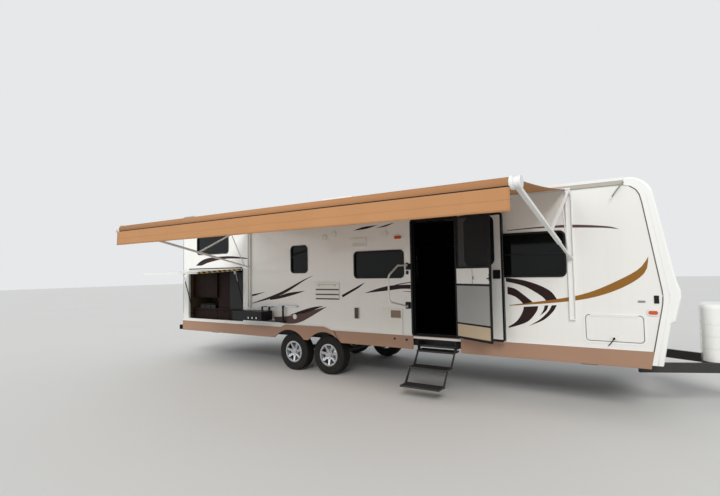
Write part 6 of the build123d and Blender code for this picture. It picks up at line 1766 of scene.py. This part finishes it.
@dataclass
class Studio:
    """Pale floor, soft light and the camera at the photograph's place."""

    image_width: int = 720
    focal_px: float = 450.75
    shift_px: float = 18.86
    eye: Place = (-1.301, -7.769, 1.395)
    yaw: float = -32.107
    pitch: float = 2.978
    roll: float = -1.063
    sensor: float = 36.0
    floor_half: float = 90.0
    # The world's light on the object, and the background that the camera and reflections see
    soft_colour: str = "E9EDF2"
    soft_strength: float = 0.62
    seen_colour: str = "E6E8EA"
    # Broad lamps: name, strength, spread in degrees and turn in degrees
    lamps: tuple[tuple[str, float, float, Place], ...] = (
        ("key_light", 1.85, 24.0, (56.0, 0.0, 28.0)),
        ("fill_light", 0.8, 70.0, (72.0, 0.0, -40.0)),
    )

    def build(self) -> None:
        """Set the stage, the lights and the camera."""
        self.floor()
        self.world()
        for name, strength, spread, turn in self.lamps:
            self.sun(name, strength, spread, turn)
        self.camera()
        bpy.context.scene.view_settings.view_transform = "Standard"

    def floor(self) -> None:
        """Lay a wide pale floor under the wheels."""
        bm = bmesh.new()
        half = self.floor_half
        corners = ((-half, -half), (half, -half), (half, half), (-half, half))
        bm.faces.new([bm.verts.new((x, y, CAD_BOX[0].z)) for x, y in corners])
        mesh = bpy.data.meshes.new("studio_floor")
        bm.to_mesh(mesh)
        bm.free()
        mesh.materials.append(FLOOR_PAINT.material())
        floor = bpy.data.objects.new("studio_floor", mesh)
        bpy.context.scene.collection.objects.link(floor)

    def world(self) -> None:
        """Set soft light from all round, with a plain pale background behind the object."""
        world = bpy.data.worlds.new("studio")
        world.use_nodes = True
        tree = world.node_tree
        tree.nodes.clear()
        light = {"Color": linear(self.soft_colour), "Strength": self.soft_strength}
        soft = add_node(tree, "ShaderNodeBackground", light).outputs[0]
        backdrop = {"Color": linear(self.seen_colour), "Strength": 1.0}
        seen = add_node(tree, "ShaderNodeBackground", backdrop).outputs[0]
        rays = add_node(tree, "ShaderNodeLightPath").outputs
        shown = rays["Is Camera Ray"]
        for ray in ("Is Glossy Ray", "Is Transmission Ray"):
            shown = add_node(tree, "ShaderNodeMath", {0: shown, 1: rays[ray]}, operation="MAXIMUM").outputs[0]
        mixed = add_node(tree, "ShaderNodeMixShader", {0: shown, 1: soft, 2: seen})
        add_node(tree, "ShaderNodeOutputWorld", {0: mixed.outputs[0]})
        bpy.context.scene.world = world

    def sun(self, name: str, strength: float, spread: float, turn: Place) -> None:
        """Add one broad lamp.

        Args:
            name: The lamp's name.
            strength: Its strength.
            spread: Its angle in degrees, which softens its shadows.
            turn: Its rotation in degrees.
        """
        lamp = bpy.data.lights.new(name, "SUN")
        lamp.energy = strength
        lamp.angle = math.radians(spread)
        holder = bpy.data.objects.new(name, lamp)
        holder.rotation_euler = [math.radians(t) for t in turn]
        bpy.context.scene.collection.objects.link(holder)

    def camera(self) -> None:
        """Set the camera, from the photograph's place, direction and roll."""
        yaw, pitch, roll = (math.radians(a) for a in (self.yaw, self.pitch, self.roll))
        ahead = Vector((math.sin(yaw) * math.cos(pitch), math.cos(yaw) * math.cos(pitch), math.sin(pitch)))
        right = Vector((math.cos(yaw), -math.sin(yaw), 0))
        above = right.cross(ahead)
        across = right * math.cos(roll) + above * math.sin(roll)
        upward = above * math.cos(roll) - right * math.sin(roll)
        turn = Matrix((across, upward, -ahead)).transposed().to_4x4()
        data = bpy.data.cameras.new("camera")
        data.sensor_width = self.sensor
        data.lens = self.focal_px * self.sensor / self.image_width
        data.shift_x = -self.shift_px / self.image_width
        holder = bpy.data.objects.new("camera", data)
        holder.matrix_world = Matrix.Translation(self.eye) @ turn
        bpy.context.scene.collection.objects.link(holder)
        bpy.context.scene.camera = holder


def main() -> None:
    """Build the studio and dress the caravan."""
    logging.basicConfig(level=logging.INFO, format="%(name)s: %(message)s")
    Studio().build()
    Dressing().build()
    Stripes().build()
    AwningCloth().build()
    for axle in ("front", "rear"):
        for side, _, out in SIDES:
            Tyre(f"tyre_{axle}_{side}", f"wheel_{axle}_{side}").build()
            WheelFace(f"rim_{axle}_{side}", f"wheel_{axle}_{side}", out).build()
    BodyTrim().build()
    StepGrip().build()
    Galley().build()
    DoorDetails().build()
    WallDetails().build()


if __name__ == "__main__":
    main()
